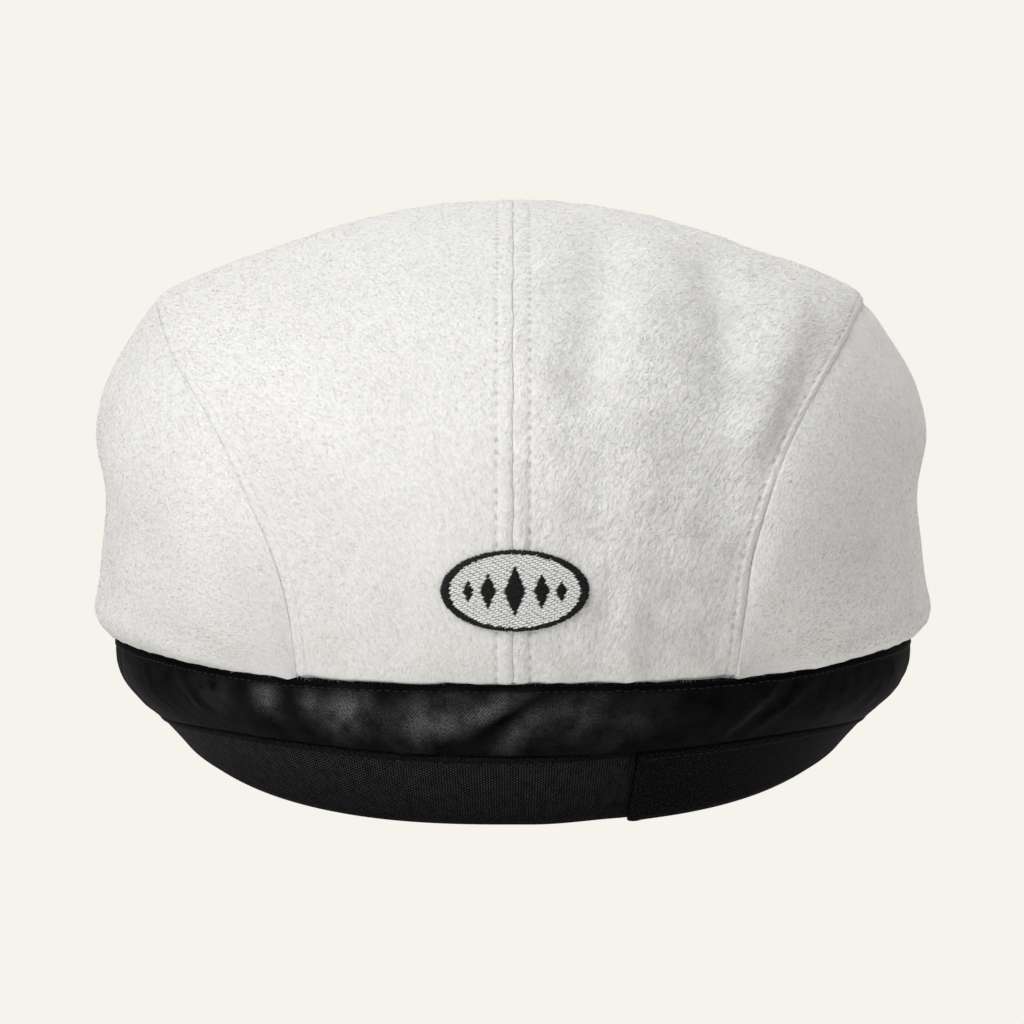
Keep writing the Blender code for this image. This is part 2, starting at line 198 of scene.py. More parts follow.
# How far the side panel stands out from the straight line between seam and hem, first towards
# the back of the cap, where it is plainly round, and then beside the head, where it has a waist
BULGE_AT = (0.0, 0.1, 0.2, 0.3, 0.42, 0.55, 0.7, 0.87, 0.95, 1.0)
BACK_BULGE = (0.0, 0.0040, 0.0068, 0.0084, 0.0094, 0.0096, 0.0088, 0.0060, 0.0042, 0.0)
BULGE = (0.0, 0.0042, 0.0082, 0.0102, 0.0100, 0.0064, 0.0053, 0.0052, 0.0042, 0.0)

CROWN_FOLDS = (
    Fold(0.0240, 0.128, 0.0190, 0.092, 0.0068, -0.0023),
    Fold(0.0080, 0.120, 0.0075, 0.080, 0.0050, 0.0006),
    Fold(0.0325, 0.122, 0.0320, 0.098, 0.0088, 0.0014),
    Fold(0.0490, 0.117, 0.0505, 0.098, 0.0062, -0.0023),
    Fold(0.0670, 0.107, 0.0545, 0.080, 0.0058, 0.0018),
    Fold(0.0690, 0.094, 0.0585, 0.070, 0.0032, -0.0007),
    Fold(0.0490, 0.080, 0.0430, 0.034, 0.0115, -0.0016),
    Fold(0.0205, 0.040, 0.0195, 0.026, 0.0024, -0.0004),
    Fold(0.0270, 0.044, 0.0262, 0.026, 0.0026, 0.0004),
    Fold(0.0335, 0.040, 0.0325, 0.026, 0.0024, -0.0004),
    Fold(-0.0400, 0.062, -0.0375, 0.032, 0.0050, -0.0005),
    Fold(-0.0245, 0.060, -0.0240, 0.034, 0.0045, -0.0005),
    Fold(-0.0440, 0.050, -0.0300, 0.062, 0.0160, -0.0006),
)

GATHERS = (
    Gather(-62, -66, 5.5, 0.0009),
    Gather(-48, -44, 5.0, 0.0012),
    Gather(-36, -39, 4.0, 0.0014),
    Gather(-27, -24, 3.6, 0.0011),
    Gather(-18, -21, 3.6, 0.0012),
    Gather(1, -13, 4.0, 0.0016),
    Gather(7, -6, 3.4, -0.0012),
    Gather(14, 17, 4.5, 0.0008),
    Gather(33, 28, 4.5, 0.0010),
    Gather(52, 40, 5.0, -0.0009),
    Gather(66, 70, 5.5, 0.0009),
)

CREASES = (
    Crease(-52, 0.20, -50, 0.50, 0.0022, 0.00045),
    Crease(-45, 0.25, -44, 0.45, 0.0020, 0.00040),
    Crease(-35, 0.30, -41, 0.85, 0.0030, 0.00055),
    Crease(-30, 0.10, -30, 0.45, 0.0016, -0.00045),
    Crease(-20, 0.35, -24, 0.80, 0.0028, 0.00050),
    Crease(-11, 0.30, -14, 0.70, 0.0024, 0.00035),
    Crease(-1, 0.20, -16, 0.95, 0.0020, 0.00070),
    Crease(5, 0.25, -10, 0.98, 0.0017, -0.00070),
    Crease(12, 0.30, 10, 0.75, 0.0030, 0.00030),
    Crease(24, 0.20, 20, 0.80, 0.0034, 0.00030),
    Crease(42, 0.20, 34, 0.85, 0.0018, -0.00040),
    Crease(45, 0.20, 37, 0.85, 0.0018, 0.00035),
    Crease(-72, 0.20, -74, 0.80, 0.0024, 0.00040),
    Crease(-84, 0.20, -85, 0.80, 0.0026, -0.00040),
)

# Painted sheen on the satin's colour, patch by patch, with painted shade where strength is below zero.
PAINTED_SHEENS = (
    Sheen(-45.0, 0.35, 3.0, 0.25, 0, 0.25),
    Sheen(-35.3, 0.30, 1.8, 0.24, 0, 0.90),
    Sheen(-28.8, 0.30, 1.5, 0.20, 0, 0.70),
    Sheen(-23.0, 0.42, 3.6, 0.32, -4, 0.95),
    Sheen(-17.2, 0.14, 1.7, 0.20, 0, -0.70),
    Sheen(-11.5, 0.45, 4.6, 0.34, -5, 0.78),
    Sheen(-3.4, 0.36, 2.8, 0.28, -12, 0.95),
    Sheen(-1.8, 0.52, 1.1, 0.45, -14, -0.92),
    Sheen(1.8, 0.60, 2.2, 0.30, -8, 0.66),
    Sheen(9.0, 0.36, 2.8, 0.30, -4, 0.48),
    Sheen(16.0, 0.50, 4.0, 0.35, -6, 0.20),
    Sheen(36.0, 0.50, 0.8, 0.35, -9, 0.22),
    Sheen(-72.0, 0.45, 2.0, 0.35, 0, 0.30),
)

BAND_LEVELS = (
    BandLevel(0, 0.0074, -0.0096),
    BandLevel(20, 0.0077, -0.0095),
    BandLevel(45, 0.0084, -0.0069),
    BandLevel(70, 0.0066, -0.0023),
    BandLevel(90, 0.0052, -0.0006),
    BandLevel(135, 0.0080, -0.0025),
    BandLevel(180, 0.0110, -0.0035),
)

NAP_WAYS = (
    NapWay(0.050, 0.095, 62),
    NapWay(0.030, 0.060, 55),
    NapWay(0.085, 0.060, 30),
    NapWay(0.020, 0.120, 80),
    NapWay(-0.030, 0.110, 100),
    NapWay(-0.055, 0.080, 120),
    NapWay(-0.045, 0.045, 165),
    NapWay(-0.085, 0.050, 170),
    NapWay(-0.010, 0.040, 110),
)


class SideLook(NamedTuple):
    """What differs between the cap's two sides: how its fleece is brushed, sewn and tufted."""

    side: Side
    top_turn: float
    side_turn: float
    ridge_height: float
    # Also sets how much painted shade the side-seam row's needle holes carry.
    seam_row_depth: float
    tuft: float
    patch: float
    mottle: float
    edge_drop: float
    tuck_depth: float
    lump: float
    shoulder_height: float


SIDE_LOOKS = (
    SideLook(Side.LEFT, 125.0, 50.0, 0.00012, 0.45, 0.42, 34.0, 0.06, 0.00018, 0.00014, 0.00013, 0.00125),
    SideLook(Side.RIGHT, 60.0, 145.0, 0.00032, 1.0, 0.72, 75.0, 0.17, 0.00050, 0.00060, 0.00024, 0.00185),
)


def smooth(knots: Array, rows: Array, at: Array) -> Array:
    """Reads a natural cubic spline through a table's rows.

    Args:
        knots: Where each row of the table stands.
        rows: The table's rows.
        at: One place to read, or many.

    Returns:
        One row for each place.
    """
    knots = np.asarray(knots, float)
    rows = np.asarray(rows, float)
    spans = np.diff(knots)
    system = np.eye(len(knots))
    right = np.zeros_like(rows)
    for i in range(1, len(knots) - 1):
        system[i, i - 1 : i + 2] = spans[i - 1], 2 * (spans[i - 1] + spans[i]), spans[i]
        right[i] = 6 * ((rows[i + 1] - rows[i]) / spans[i] - (rows[i] - rows[i - 1]) / spans[i - 1])
    bend = np.linalg.solve(system, right)
    at = np.asarray(at, float)
    index = np.clip(np.searchsorted(knots, at, side="right") - 1, 0, len(spans) - 1)
    span = spans[index][..., None]
    done = at[..., None] - knots[index][..., None]
    left = span - done
    return (
        (bend[index] * left**3 + bend[index + 1] * done**3) / (6 * span)
        + (rows[index] / span - bend[index] * span / 6) * left
        + (rows[index + 1] / span - bend[index + 1] * span / 6) * done
    )


def unit(vectors: Array) -> Array:
    """The vectors at length 1."""
    return vectors / np.maximum(np.linalg.norm(vectors, axis=-1, keepdims=True), 1e-12)


def eased(value: Array) -> Array:
    """Runs smoothly from 0 to 1 as the value does."""
    value = np.clip(value, 0, 1)
    return value * value * (3 - 2 * value)


def hump(distance: Array, middle: float, width: float) -> Array:
    """A soft bell of height 1 round a middle distance."""
    return np.exp(-(((distance - middle) / width) ** 2))


def sloped(distance: Array, reach: float) -> Array:
    """A soft slope from 1 at an edge down to 0 at this reach from it."""
    return (1 - np.clip(distance / reach, 0, 1)) ** 2


def rolled(distance: Array, radius: float) -> Array:
    """How deep a round edge of this radius has sunk at each distance from the edge."""
    inside = np.clip(radius - distance, 0, radius)
    return radius - np.sqrt(radius**2 - inside**2)


def ridge(place: Array, start: Array, end: Array, width: float, height: float) -> Array:
    """A soft ridge along the line between two flat points, or a dent where height is below zero.

    Args:
        place: Flat places, two numbers each.
        start: Where the line starts.
        end: Where it ends.
        width: The ridge's half width.
        height: Its height on the line.

    Returns:
        The height at each place.
    """
    run = end - start
    share = np.clip((place - start) @ run / (run @ run), 0, 1)
    return height * hump(np.linalg.norm(place - start - share[..., None] * run, axis=-1), 0, width)


def distances(points: Array) -> Array:
    """How far each point of a line lies from its first, along the line."""
    steps = np.linalg.norm(np.diff(points, axis=0), axis=-1)
    return np.concatenate([[0], np.cumsum(steps)])


class Lattice:
    """Smooth noise from random values on a wrapped grid of points."""

    SIZE = 48

    def __init__(self, seed: int) -> None:
        """Draws the grid's values from this seed."""
        self.values = np.random.default_rng(seed).uniform(-1, 1, (self.SIZE,) * 3)

    def at(self, points: Array, cell: float) -> Array:
        """Noise between -1 and 1.

        Args:
            points: Places, three numbers each.
            cell: The size of one lump.

        Returns:
            One value for each place.
        """
        scaled = np.asarray(points, float) / cell
        low = np.floor(scaled).astype(int)
        share = eased(scaled - low)
        total = np.zeros(scaled.shape[:-1])
        for corner in np.ndindex(2, 2, 2):
            index = (low + corner) % self.SIZE
            weight = np.prod(np.where(corner, share, 1 - share), axis=-1)
            total += weight * self.values[index[..., 0], index[..., 1], index[..., 2]]
        return total


def spacing(length: float, zones: tuple[tuple[float, float], ...]) -> Array:
    """Shares of a length, closer together in its finer zones.

    Args:
        length: The whole length.
        zones: Pairs of how far a zone reaches and the step inside it, in order.

    Returns:
        Rising shares from 0 to 1.
    """
    fine = np.linspace(0, length, 4000)
    ends = np.array([zone[0] for zone in zones])
    steps = np.array([zone[1] for zone in zones])
    step = steps[np.clip(np.searchsorted(ends, fine), 0, len(steps) - 1)]
    count = np.concatenate([[0], np.cumsum(np.diff(fine) / step[1:])])
    whole = int(round(count[-1]))
    return np.interp(np.linspace(0, count[-1], whole + 1), count, fine) / length


@dataclass(frozen=True)
class CrownForm:
    """The crown's plain outer form, lofted through the stations."""

    section_power: float = 2.17
    bulge_span: float = 0.085
    flat_span: float = 0.050
    bulge_turns_at: float = 3.5
    bulge_turn: float = 3.5
    peak_crest: float = 0.0319
    peak_arch: float = 0.0156
    peak_arch_at: float = 0.0910
    peak_slope: float = 0.0080 / 0.0580
    peak_crest_y: float = 0.1000
    rests_from_y: float = 0.0350
    folds_end_y: float = -0.020
    folds_fade: float = 0.040
    clear_end: float = 0.3
    level_rate: float = 2.5
    least_mitre: float = 0.6

    @property
    def last(self) -> int:
        """The last station's number."""
        return len(STATIONS) - 1

    def section(self, side: int, station: Array) -> tuple[Array, Array, Array]:
        """One section of the crown.

        Args:
            side: -1 for left, 1 for right.
            station: Station numbers, fractions allowed.

        Returns:
            The middle points, the seam points and the hem angles.
        """
        row = smooth(range(len(STATIONS)), STATIONS, station)
        seam_x = row[..., 3] if side > 0 else row[..., 2]
        middle = np.stack([np.zeros_like(seam_x), row[..., 0], row[..., 1]], -1)
        seam = np.stack([side * seam_x, row[..., 4], row[..., 5]], -1)
        return middle, seam, row[..., 6]

    def hem_point(self, side: int, angle: Array) -> Array:
        """A point of the crown's lower edge."""
        table = np.array(HEM)
        return smooth(table[:, 0], table[:, 1:], angle) * (side, 1, 1)

    def top(self, side: int, station: Array, across: Array) -> Array:
        """The top panel's outer face, from the centre seam (0) to the side seam (1)."""
        middle, seam, _ = self.section(side, station)
        across = np.asarray(across, float)[..., None]
        sideways = np.concatenate([across, *[np.abs(across) ** self.section_power] * 2], -1)
        return middle + (seam - middle) * sideways

    def beside(self, side: int, station: Array, down: Array) -> Array:
        """The side panel's outer face, from the side seam (0) to the hem (1)."""
        _, seam, angle = self.section(side, station)
        hem = self.hem_point(side, angle)
        along = self.hem_point(side, angle + 1) - self.hem_point(side, angle - 1)
        outward = unit(np.stack([along[..., 1], -along[..., 0], np.zeros_like(angle)], -1) * side)
        both = smooth(BULGE_AT, np.array((BACK_BULGE, BULGE)).T, down)
        waisted = eased((np.asarray(station, float) - self.bulge_turns_at) / self.bulge_turn)
        bulge = (both[..., 0] * (1 - waisted) + both[..., 1] * waisted)[..., None]
        span = np.linalg.norm(hem - seam, axis=-1, keepdims=True)
        bulge = bulge * span / self.bulge_span * eased(span / self.flat_span)
        down = np.asarray(down, float)[..., None]
        return seam * (1 - down) + hem * down + outward * bulge

    def normals(self, face: Form, side: int, first: Array, second: Array) -> Array:
        """The outward normals of one of the crown's faces.

        Args:
            face: The form's method that gives the face's points.
            side: -1 for left, 1 for right.
            first: Station numbers.
            second: Shares across or down.

        Returns:
            Unit vectors.
        """
        step = 0.001
        along = face(side, first + step, second) - face(side, first - step, second)
        across = face(side, first, second + step) - face(side, first, second - step)
        return unit(np.cross(across, along) * side)

    def seam_direction(self, side: int, station: Array) -> Array:
        """The way through the cloth at the side seam, shared by both panels."""
        clear = np.clip(station, self.clear_end, self.last - self.clear_end)
        top = self.normals(self.top, side, clear, np.ones_like(clear))
        lower = self.normals(self.beside, side, clear, np.zeros_like(clear))
        middle = unit(top + lower)
        level = eased(np.minimum(station, self.last - station) * self.level_rate)[..., None]
        slant = np.concatenate([middle[..., :2], middle[..., 2:] * level], -1)
        return unit(slant) / np.maximum((middle * top).sum(-1, keepdims=True), self.least_mitre)

    def peak_height(self, x: Array, y: Array) -> Array:
        """The height of the peak's upper face."""
        arch = self.peak_arch * (x / self.peak_arch_at) ** 2
        return self.peak_crest - arch - self.peak_slope * (y - self.peak_crest_y)

    def resting(self, points: Array) -> Array:
        """Lifts cloth that would sink into the peak."""
        lifted = np.maximum(points[..., 2], self.peak_height(points[..., 0], points[..., 1]) + GAP)
        points[..., 2] = np.where(points[..., 1] > self.rests_from_y, lifted, points[..., 2])
        return points

    def folds(self, points: Array) -> Array:
        """How far the crown's folds push each point out, faded away past the top."""
        relief = np.zeros(points.shape[:-1])
        for fold in CROWN_FOLDS:
            start, end = np.array(fold[:2]), np.array(fold[2:4])
            relief += ridge(points[..., [0, 2]], start, end, fold.width, fold.height)
        return relief * eased((self.folds_end_y - points[..., 1]) / self.folds_fade)

    def lengths(self, side: int, share: float) -> tuple[Array, Array]:
        """How far each station lies along a line of the top panel.

        Args:
            side: -1 for left, 1 for right.
            share: 0 for the centre seam, 1 for the side seam.

        Returns:
            Station numbers and the distance from the hem to each.
        """
        stations = np.linspace(0, self.last, 1200)
        return stations, distances(self.top(side, stations, np.full_like(stations, share)))


def active_mesh() -> Thing:
    """The object that the last operator made."""
    return bpy.context.view_layer.objects.active


def clear_selection() -> None:
    """Deselects everything."""
    bpy.ops.object.select_all(action="DESELECT")


def corners_of(mesh: bpy.types.Mesh) -> Array:
    """The mesh's points as an array."""
    points = np.empty(len(mesh.vertices) * 3)
    mesh.vertices.foreach_get("co", points)
    return points.reshape(-1, 3)


def faces_out(thing: Thing) -> None:
    """Turns all faces of a closed mesh outwards."""
    clear_selection()
    thing.select_set(True)
    bpy.context.view_layer.objects.active = thing
    bpy.ops.object.mode_set(mode="EDIT")
    bpy.ops.mesh.select_all(action="SELECT")
    bpy.ops.mesh.normals_make_consistent(inside=False)
    bpy.ops.object.mode_set(mode="OBJECT")


def write_map(mesh: bpy.types.Mesh, flat: Array) -> None:
    """Writes the cloth's flat places, in metres, as the mesh's only UV map.

    Args:
        mesh: The mesh to write to.
        flat: Two numbers for each of its points.
    """
    while mesh.uv_layers:
        mesh.uv_layers.remove(mesh.uv_layers[0])
    layer = mesh.uv_layers.new(name=CLOTH_MAP)
    index = np.empty(len(mesh.loops), np.int32)
    mesh.loops.foreach_get("vertex_index", index)
    layer.uv.foreach_set("vector", flat[index].astype(np.float32).ravel())


def write_values(mesh: bpy.types.Mesh, name: str, values: Array) -> None:
    """Writes one number for each of the mesh's points under this name."""
    layer = mesh.attributes.new(name, "FLOAT", "POINT")
    layer.data.foreach_set("value", values.astype(np.float32))


def joined_mesh(name: str, points: Array, faces: Array) -> Thing:
    """One object from arrays of many small equal shapes.

    Args:
        name: The piece's name.
        points: All points.
        faces: Point numbers of each face, all with the same number of corners.

    Returns:
        The object, linked to the scene.
    """
    mesh = bpy.data.meshes.new(name)
    size = faces.shape[1]
    mesh.vertices.add(len(points))
    mesh.vertices.foreach_set("co", points.astype(np.float32).ravel())
    mesh.loops.add(faces.size)
    mesh.loops.foreach_set("vertex_index", faces.astype(np.int32).ravel())
    mesh.polygons.add(len(faces))
    mesh.polygons.foreach_set("loop_start", np.arange(0, faces.size, size, dtype=np.int32))
    mesh.update(calc_edges=True)
    thing = bpy.data.objects.new(name, mesh)
    bpy.context.scene.collection.objects.link(thing)
    return thing


class Cut(NamedTuple):
    """What shapes a piece of cloth, by share across it, share along it and depth through it.

    The functions for the map and for the layer take the two shares alone.
    """

    name: str
    place: Form
    flat: Form
    layer: str = ""
    values: Form | None = None

    def shape(self, thing: Thing, across: Array, along: Array, depth: Array) -> Thing:
        """Moves a closed mesh's points to their places and writes its map and its layer.

        Args:
            thing: The mesh's object.
            across: Each point's share across the cloth.
            along: Its share along it.
            depth: 0 on the outer face, 1 on the inner.

        Returns:
            The same object, faces outwards.
        """
        thing.name = self.name
        thing.data.name = self.name
        thing.data.vertices.foreach_set("co", self.place(across, along, depth).ravel())
        write_map(thing.data, self.flat(across, along))
        if self.values is not None:
            write_values(thing.data, self.layer, self.values(across, along))
        faces_out(thing)
        thing.data.shade_smooth()
        return thing


def add_wall(thing: Thing, thickness: float) -> Array:
    """Gives an open mesh a wall and returns all its points."""
    wall = thing.modifiers.new("Wall", "SOLIDIFY")
    wall.thickness = thickness
    wall.offset = -1
    bpy.ops.object.modifier_apply(modifier=wall.name)
    return corners_of(thing.data)


def cloth_sheet(cut: Cut, columns: Array, rows: Array) -> Thing:
    """A closed sheet of cloth with two faces.

    Args:
        cut: What shapes it.
        columns: Rising shares across the sheet, from 0 to 1.
        rows: Rising shares along it, from 0 to 1.

    Returns:
        The sheet, faces outwards.
    """
    clear_selection()
    bpy.ops.mesh.primitive_grid_add(x_subdivisions=len(columns) - 1, y_subdivisions=len(rows) - 1, size=1)
    thing = active_mesh()
    points = add_wall(thing, 1)
    column = np.rint((points[:, 0] + 0.5) * (len(columns) - 1)).astype(int)
    row = np.rint((points[:, 1] + 0.5) * (len(rows) - 1)).astype(int)
    return cut.shape(thing, columns[column], rows[row], np.round(-points[:, 2]))


def cloth_tube(cut: Cut, downs: Array, sides: int) -> Thing:
    """A closed ring of cloth with two faces.

    Args:
        cut: What shapes it. Its share across is the share down.
        downs: Rising shares down the band, from 0 to 1.
        sides: How many columns go round.

    Returns:
        The ring, faces outwards.
    """
    clear_selection()
    bpy.ops.mesh.primitive_cylinder_add(vertices=sides, radius=1, depth=1, end_fill_type="NOTHING")
    thing = active_mesh()
    bpy.ops.object.mode_set(mode="EDIT")
    bpy.ops.mesh.select_mode(type="EDGE")
    bpy.ops.mesh.select_all(action="DESELECT")
    bpy.ops.object.mode_set(mode="OBJECT")
    heights = corners_of(thing.data)[:, 2]
    ends = np.empty(len(thing.data.edges) * 2, np.int32)
    thing.data.edges.foreach_get("vertices", ends)
    upright = np.abs(heights[ends[0::2]] - heights[ends[1::2]]) > 0.5
    thing.data.edges.foreach_set("select", upright)
    bpy.ops.object.mode_set(mode="EDIT")
    bpy.ops.mesh.subdivide(number_cuts=len(downs) - 2)
    bpy.ops.object.mode_set(mode="OBJECT")
    points = add_wall(thing, 0.5)
    row = np.rint((0.5 - points[:, 2]) * (len(downs) - 1)).astype(int)
    down = downs[np.clip(row, 0, len(downs) - 1)]
    along = (np.degrees(np.arctan2(points[:, 0], -points[:, 1])) % 360) / 360
    depth = np.where(np.hypot(points[:, 0], points[:, 1]) < 0.8, 1.0, 0.0)
    return cut.shape(thing, down, along, depth)


def place_on(thing: Thing, finish: Material, slot: str, *nodes: str) -> None:
    """Gives a piece its finish, hangs it under the root body and hides the CAD nodes that it stands for.

    Args:
        thing: The piece.
        finish: Its material.
        slot: Not used.
        nodes: The CAD nodes that it stands for.
    """
    thing.data.materials.clear()
    thing.data.materials.append(finish)
    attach(thing, "root")
    if nodes:
        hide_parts(*nodes)
    log.info("%s: %d triangles", thing.name, sum(len(face.vertices) - 2 for face in thing.data.polygons))


class Groove(NamedTuple):
    """A soft groove along a seam, or a swell where depth is below zero."""

    depth: float
    away: float
    width: float

    def at(self, distance: Array) -> Array:
        """Its depth at each distance from the seam."""
        return self.depth * hump(distance, self.away, self.width)


@dataclass
class Panel:
    """What the crown's four panels share: their cloth, and how it ends at the rim and at the seams."""

    kind: ClassVar[str]

    side: Side
    crown: CrownForm
    thickness: float = 0.0025
    hem_radius: float = 0.0010
    seam_gap: float = 0.00004
    turn_in: float = 0.008
    lump: float = 0.00010
    large_lumps: float = 0.0085
    small_lumps: float = 0.0036
    rim_wander: float = 0.00028
    long_wander: float = 0.0070
    short_wander: float = 0.0026
    wander_reach: float = 0.006
    outline_station: float = 7.5
    outline_span: float = 1.8
    lattice: Lattice = field(default_factory=lambda: Lattice(11))

    @property
    def sign(self) -> int:
        """-1 for left, 1 for right."""
        return self.side.value

    @property
    def label(self) -> str:
        """The panel's words in piece names."""
        return f"{self.kind}_{self.side.word}"

    def lumps(self, points: Array) -> Array:
        """How far the cloth's soft lumps push each point out."""
        small = 0.5 * self.lattice.at(points + 0.3, self.small_lumps)
        return self.lump * (self.lattice.at(points, self.large_lumps) + small)

    def uneven_rim(self, points: Array, from_rim: Array) -> Array:
        """How far the soft rim wanders up and down at each point, faded away a little above it."""
        flat = points * (1, 1, 0)
        wander = self.lattice.at(flat, self.long_wander)
        wander += 0.6 * self.lattice.at(flat + 0.2, self.short_wander)
        return self.rim_wander * wander * sloped(from_rim, self.wander_reach)

    def through(self, normal: Array, station: Array, from_seam: Array, from_hem: Array) -> Array:
        """The way through the cloth, level at the rim and shared with the next panel at the seam.

        Args:
            normal: The way out of the plain form.
            station: Station numbers.
            from_seam: How far each point is from the side seam.
            from_hem: How far it is from the rim.

        Returns:
            Vectors out of the cloth.
        """
        by_seam = eased(1 - from_seam / self.turn_in)[..., None]
        by_hem = eased(1 - from_hem / self.turn_in)[..., None]
        way = normal * (1 - by_seam) + self.crown.seam_direction(self.sign, station) * by_seam
        return way * (1 - by_hem) + unit(way * (1, 1, 0)) * by_hem


@dataclass
class TopPanel(Panel):
    """One of the two top panels, from the back rim over the top to the peak."""

    kind = "top"

    groove_depth: float = 0.00055
    groove_reach: float = 0.0013
    centre_row: float = 0.0038
    seam_row: float = 0.0028
    row_width: float = 0.00065
    row_depth: float = 0.00032
    # Scales the side-seam row's groove and the painted shade in its needle holes.
    seam_row_depth: float = 1.0
    hole_width: float = 0.00036
    bare_width: float = 0.0009
    bared: float = 0.85
    centre_swell: Groove = Groove(-0.00012, 0.0019, 0.0013)
    centre_sink: Groove = Groove(0.00016, 0.0056, 0.0022)
    seam_sink: Groove = Groove(0.00022, 0.0050, 0.0024)
    ridge_height: float = 0.00050
    ridge_middle: float = 0.0017
    ridge_width: float = 0.0016
    ridge_from: float = 0.002
    ridge_rise: float = 0.012
    wobble: float = 0.00022
    long_wobble: float = 0.0045
    short_wobble: float = 0.0019
    wobble_width: float = 0.0016
    edge_reach: float = 0.0034
    edge_drop: float = 0.00050
    outline_drop: float = 0.00100
    shoulder_height: float = 0.00130
    shoulder_share: float = 0.88
    shoulder_width: float = 0.18
    shoulder_span: float = 2.4
    shoulder_clear: float = 0.0055
    flatter_from: float = 2.5
    flatter_over: float = 3.5
    flattened: float = 0.6
    pucker: float = 0.00016
    pucker_size: float = 0.0042
    seam_pucker_width: float = 0.0035
    centre_pucker_width: float = 0.003
    nominal_width: float = 0.085

    def __post_init__(self) -> None:
        """Works out the seam lengths and the rows and columns of the mesh."""
        self.stations, self.centre_lengths = self.crown.lengths(self.sign, 0.0)
        self.length = self.centre_lengths[-1]
        zones = ((0.003, 0.0004), (0.112, 0.00088), (self.length - 0.003, 0.0022), (self.length, 0.0007))
        shares = spacing(self.length, zones)
        self.rows = np.interp(shares * self.length, self.centre_lengths, self.stations) / self.crown.last
        wide = self.nominal_width
        self.columns = spacing(wide, ((0.0085, 0.00045), (wide - 0.008, 0.0014), (wide, 0.0005)))

    def widths(self, station: Array) -> Array:
        """The panel's rough width at each station."""
        middle, seam, _ = self.crown.section(self.sign, station)
        return np.linalg.norm(seam - middle, axis=-1)

    def from_seam(self, station: Array, across: Array) -> Array:
        """The distance of each point from the side seam."""
        step = 0.02
        edge = self.crown.top(self.sign, station, np.ones_like(across))
        near = self.crown.top(self.sign, station, np.ones_like(across) - step)
        return (1 - across) * np.linalg.norm(edge - near, axis=-1) / step

    def relief(self, plain: Array, station: Array, across: Array) -> Array:
        """How far the sewn and soft detail pushes the outer face out.

        Args:
            plain: The plain form's points.
            station: Their station numbers.
            across: Their shares across.

        Returns:
            Heights in metres.
        """
        from_centre = np.abs(plain[..., 0])
        from_seam = self.from_seam(station, across)
        length = np.interp(station, self.stations, self.centre_lengths)
        centre_seam = self.groove_depth * sloped(from_centre, self.groove_reach)
        centre_seam += self.row_depth * hump(from_centre, self.centre_row, self.row_width)
        centre_seam += self.centre_swell.at(from_centre) + self.centre_sink.at(from_centre)
        flatter = 1 - self.flattened * eased((station - self.flatter_from) / self.flatter_over)
        height = self.crown.folds(plain) - centre_seam * flatter
        risen = self.ridge_height * eased((length - self.ridge_from) / self.ridge_rise)
        height += risen * hump(from_seam, self.ridge_middle, self.ridge_width)
        drop = self.edge_drop + self.outline_drop * hump(station, self.outline_station, self.outline_span)
        height -= drop * sloped(from_seam, self.edge_reach)
        shoulder = hump(across, self.shoulder_share, self.shoulder_width)
        shoulder *= hump(station, self.outline_station, self.shoulder_span)
        height += self.shoulder_height * shoulder * eased(from_seam / self.shoulder_clear)
        height -= self.seam_row_depth * self.row_depth * hump(from_seam, self.seam_row, self.row_width)
        height -= self.seam_sink.at(from_seam)
        sewn = hump(from_seam, self.seam_row, self.seam_pucker_width)
        sewn += hump(from_centre, self.centre_row, self.centre_pucker_width)
        height += self.pucker * self.lattice.at(plain, self.pucker_size) * sewn
        height += self.lumps(plain)
        return height - rolled(length, self.hem_radius) - rolled(self.length - length, self.hem_radius)

    def place(self, across: Array, along: Array, depth: Array) -> Array:
        """The place of each point of the panel, outer face at depth 0 and inner at 1."""
        crown = self.crown
        station = along * crown.last
        share = across * (1 - self.seam_gap / 2 / self.widths(station))
        outer = crown.top(self.sign, station, share)
        normal = crown.normals(crown.top, self.sign, station, share)
        length = np.interp(station, self.stations, self.centre_lengths)
        from_hem = np.minimum(length, self.length - length)
        through = self.through(normal, station, self.from_seam(station, share), from_hem)
        height = self.relief(outer, station, share)
        outer[..., 0] += self.sign * self.seam_gap / 2 * (1 - across)
        line = outer * (0, 1, 1)
        stray = self.lattice.at(line, self.long_wobble) + 0.5 * self.lattice.at(line, self.short_wobble)
        outer[..., 0] += self.wobble * stray * hump(outer[..., 0], 0, self.wobble_width)
        outer[..., 2] += self.uneven_rim(outer, length)
        placed = outer + normal * (height * (1 - depth))[..., None]
        placed += through * ((crown.folds(outer) - self.thickness) * depth)[..., None]
        return crown.resting(placed)

    def flat(self, across: Array, along: Array) -> Array:
        """The cloth's flat places: rightwards and upwards as seen from behind."""
        length = np.interp(along * self.crown.last, self.stations, self.centre_lengths)
        return np.stack([self.sign * across * self.nominal_width, length], -1)

    def by_row(self, across: Array, along: Array) -> Array:
        """How near each point is to the rows beside the centre seam and the side seam, where the fleece's
        finish paints shade into the needle holes.
        """
        station = along * self.crown.last
        from_centre = np.abs(self.crown.top(self.sign, station, across)[..., 0])
        by_seam = hump(self.from_seam(station, across), self.seam_row, self.hole_width)
        return hump(from_centre, self.centre_row, self.hole_width) + self.seam_row_depth * by_seam

    def nap_share(self, points: Array, across: Array, along: Array) -> Array:
        """How thickly fibres grow at each point: thinner on the stitched rows."""
        row = hump(np.abs(points[:, 0]), self.centre_row, self.bare_width)
        row = row + hump(self.from_seam(along * self.crown.last, across), self.seam_row, self.bare_width)
        return np.clip(1 - self.bared * row, 0, 1)

    def build(self) -> Thing:
        """Makes the panel's sheet."""
        cut = Cut(f"fleece_{self.label}", self.place, self.flat, ROW_LAYER, self.by_row)
        return cloth_sheet(cut, self.columns, self.rows)


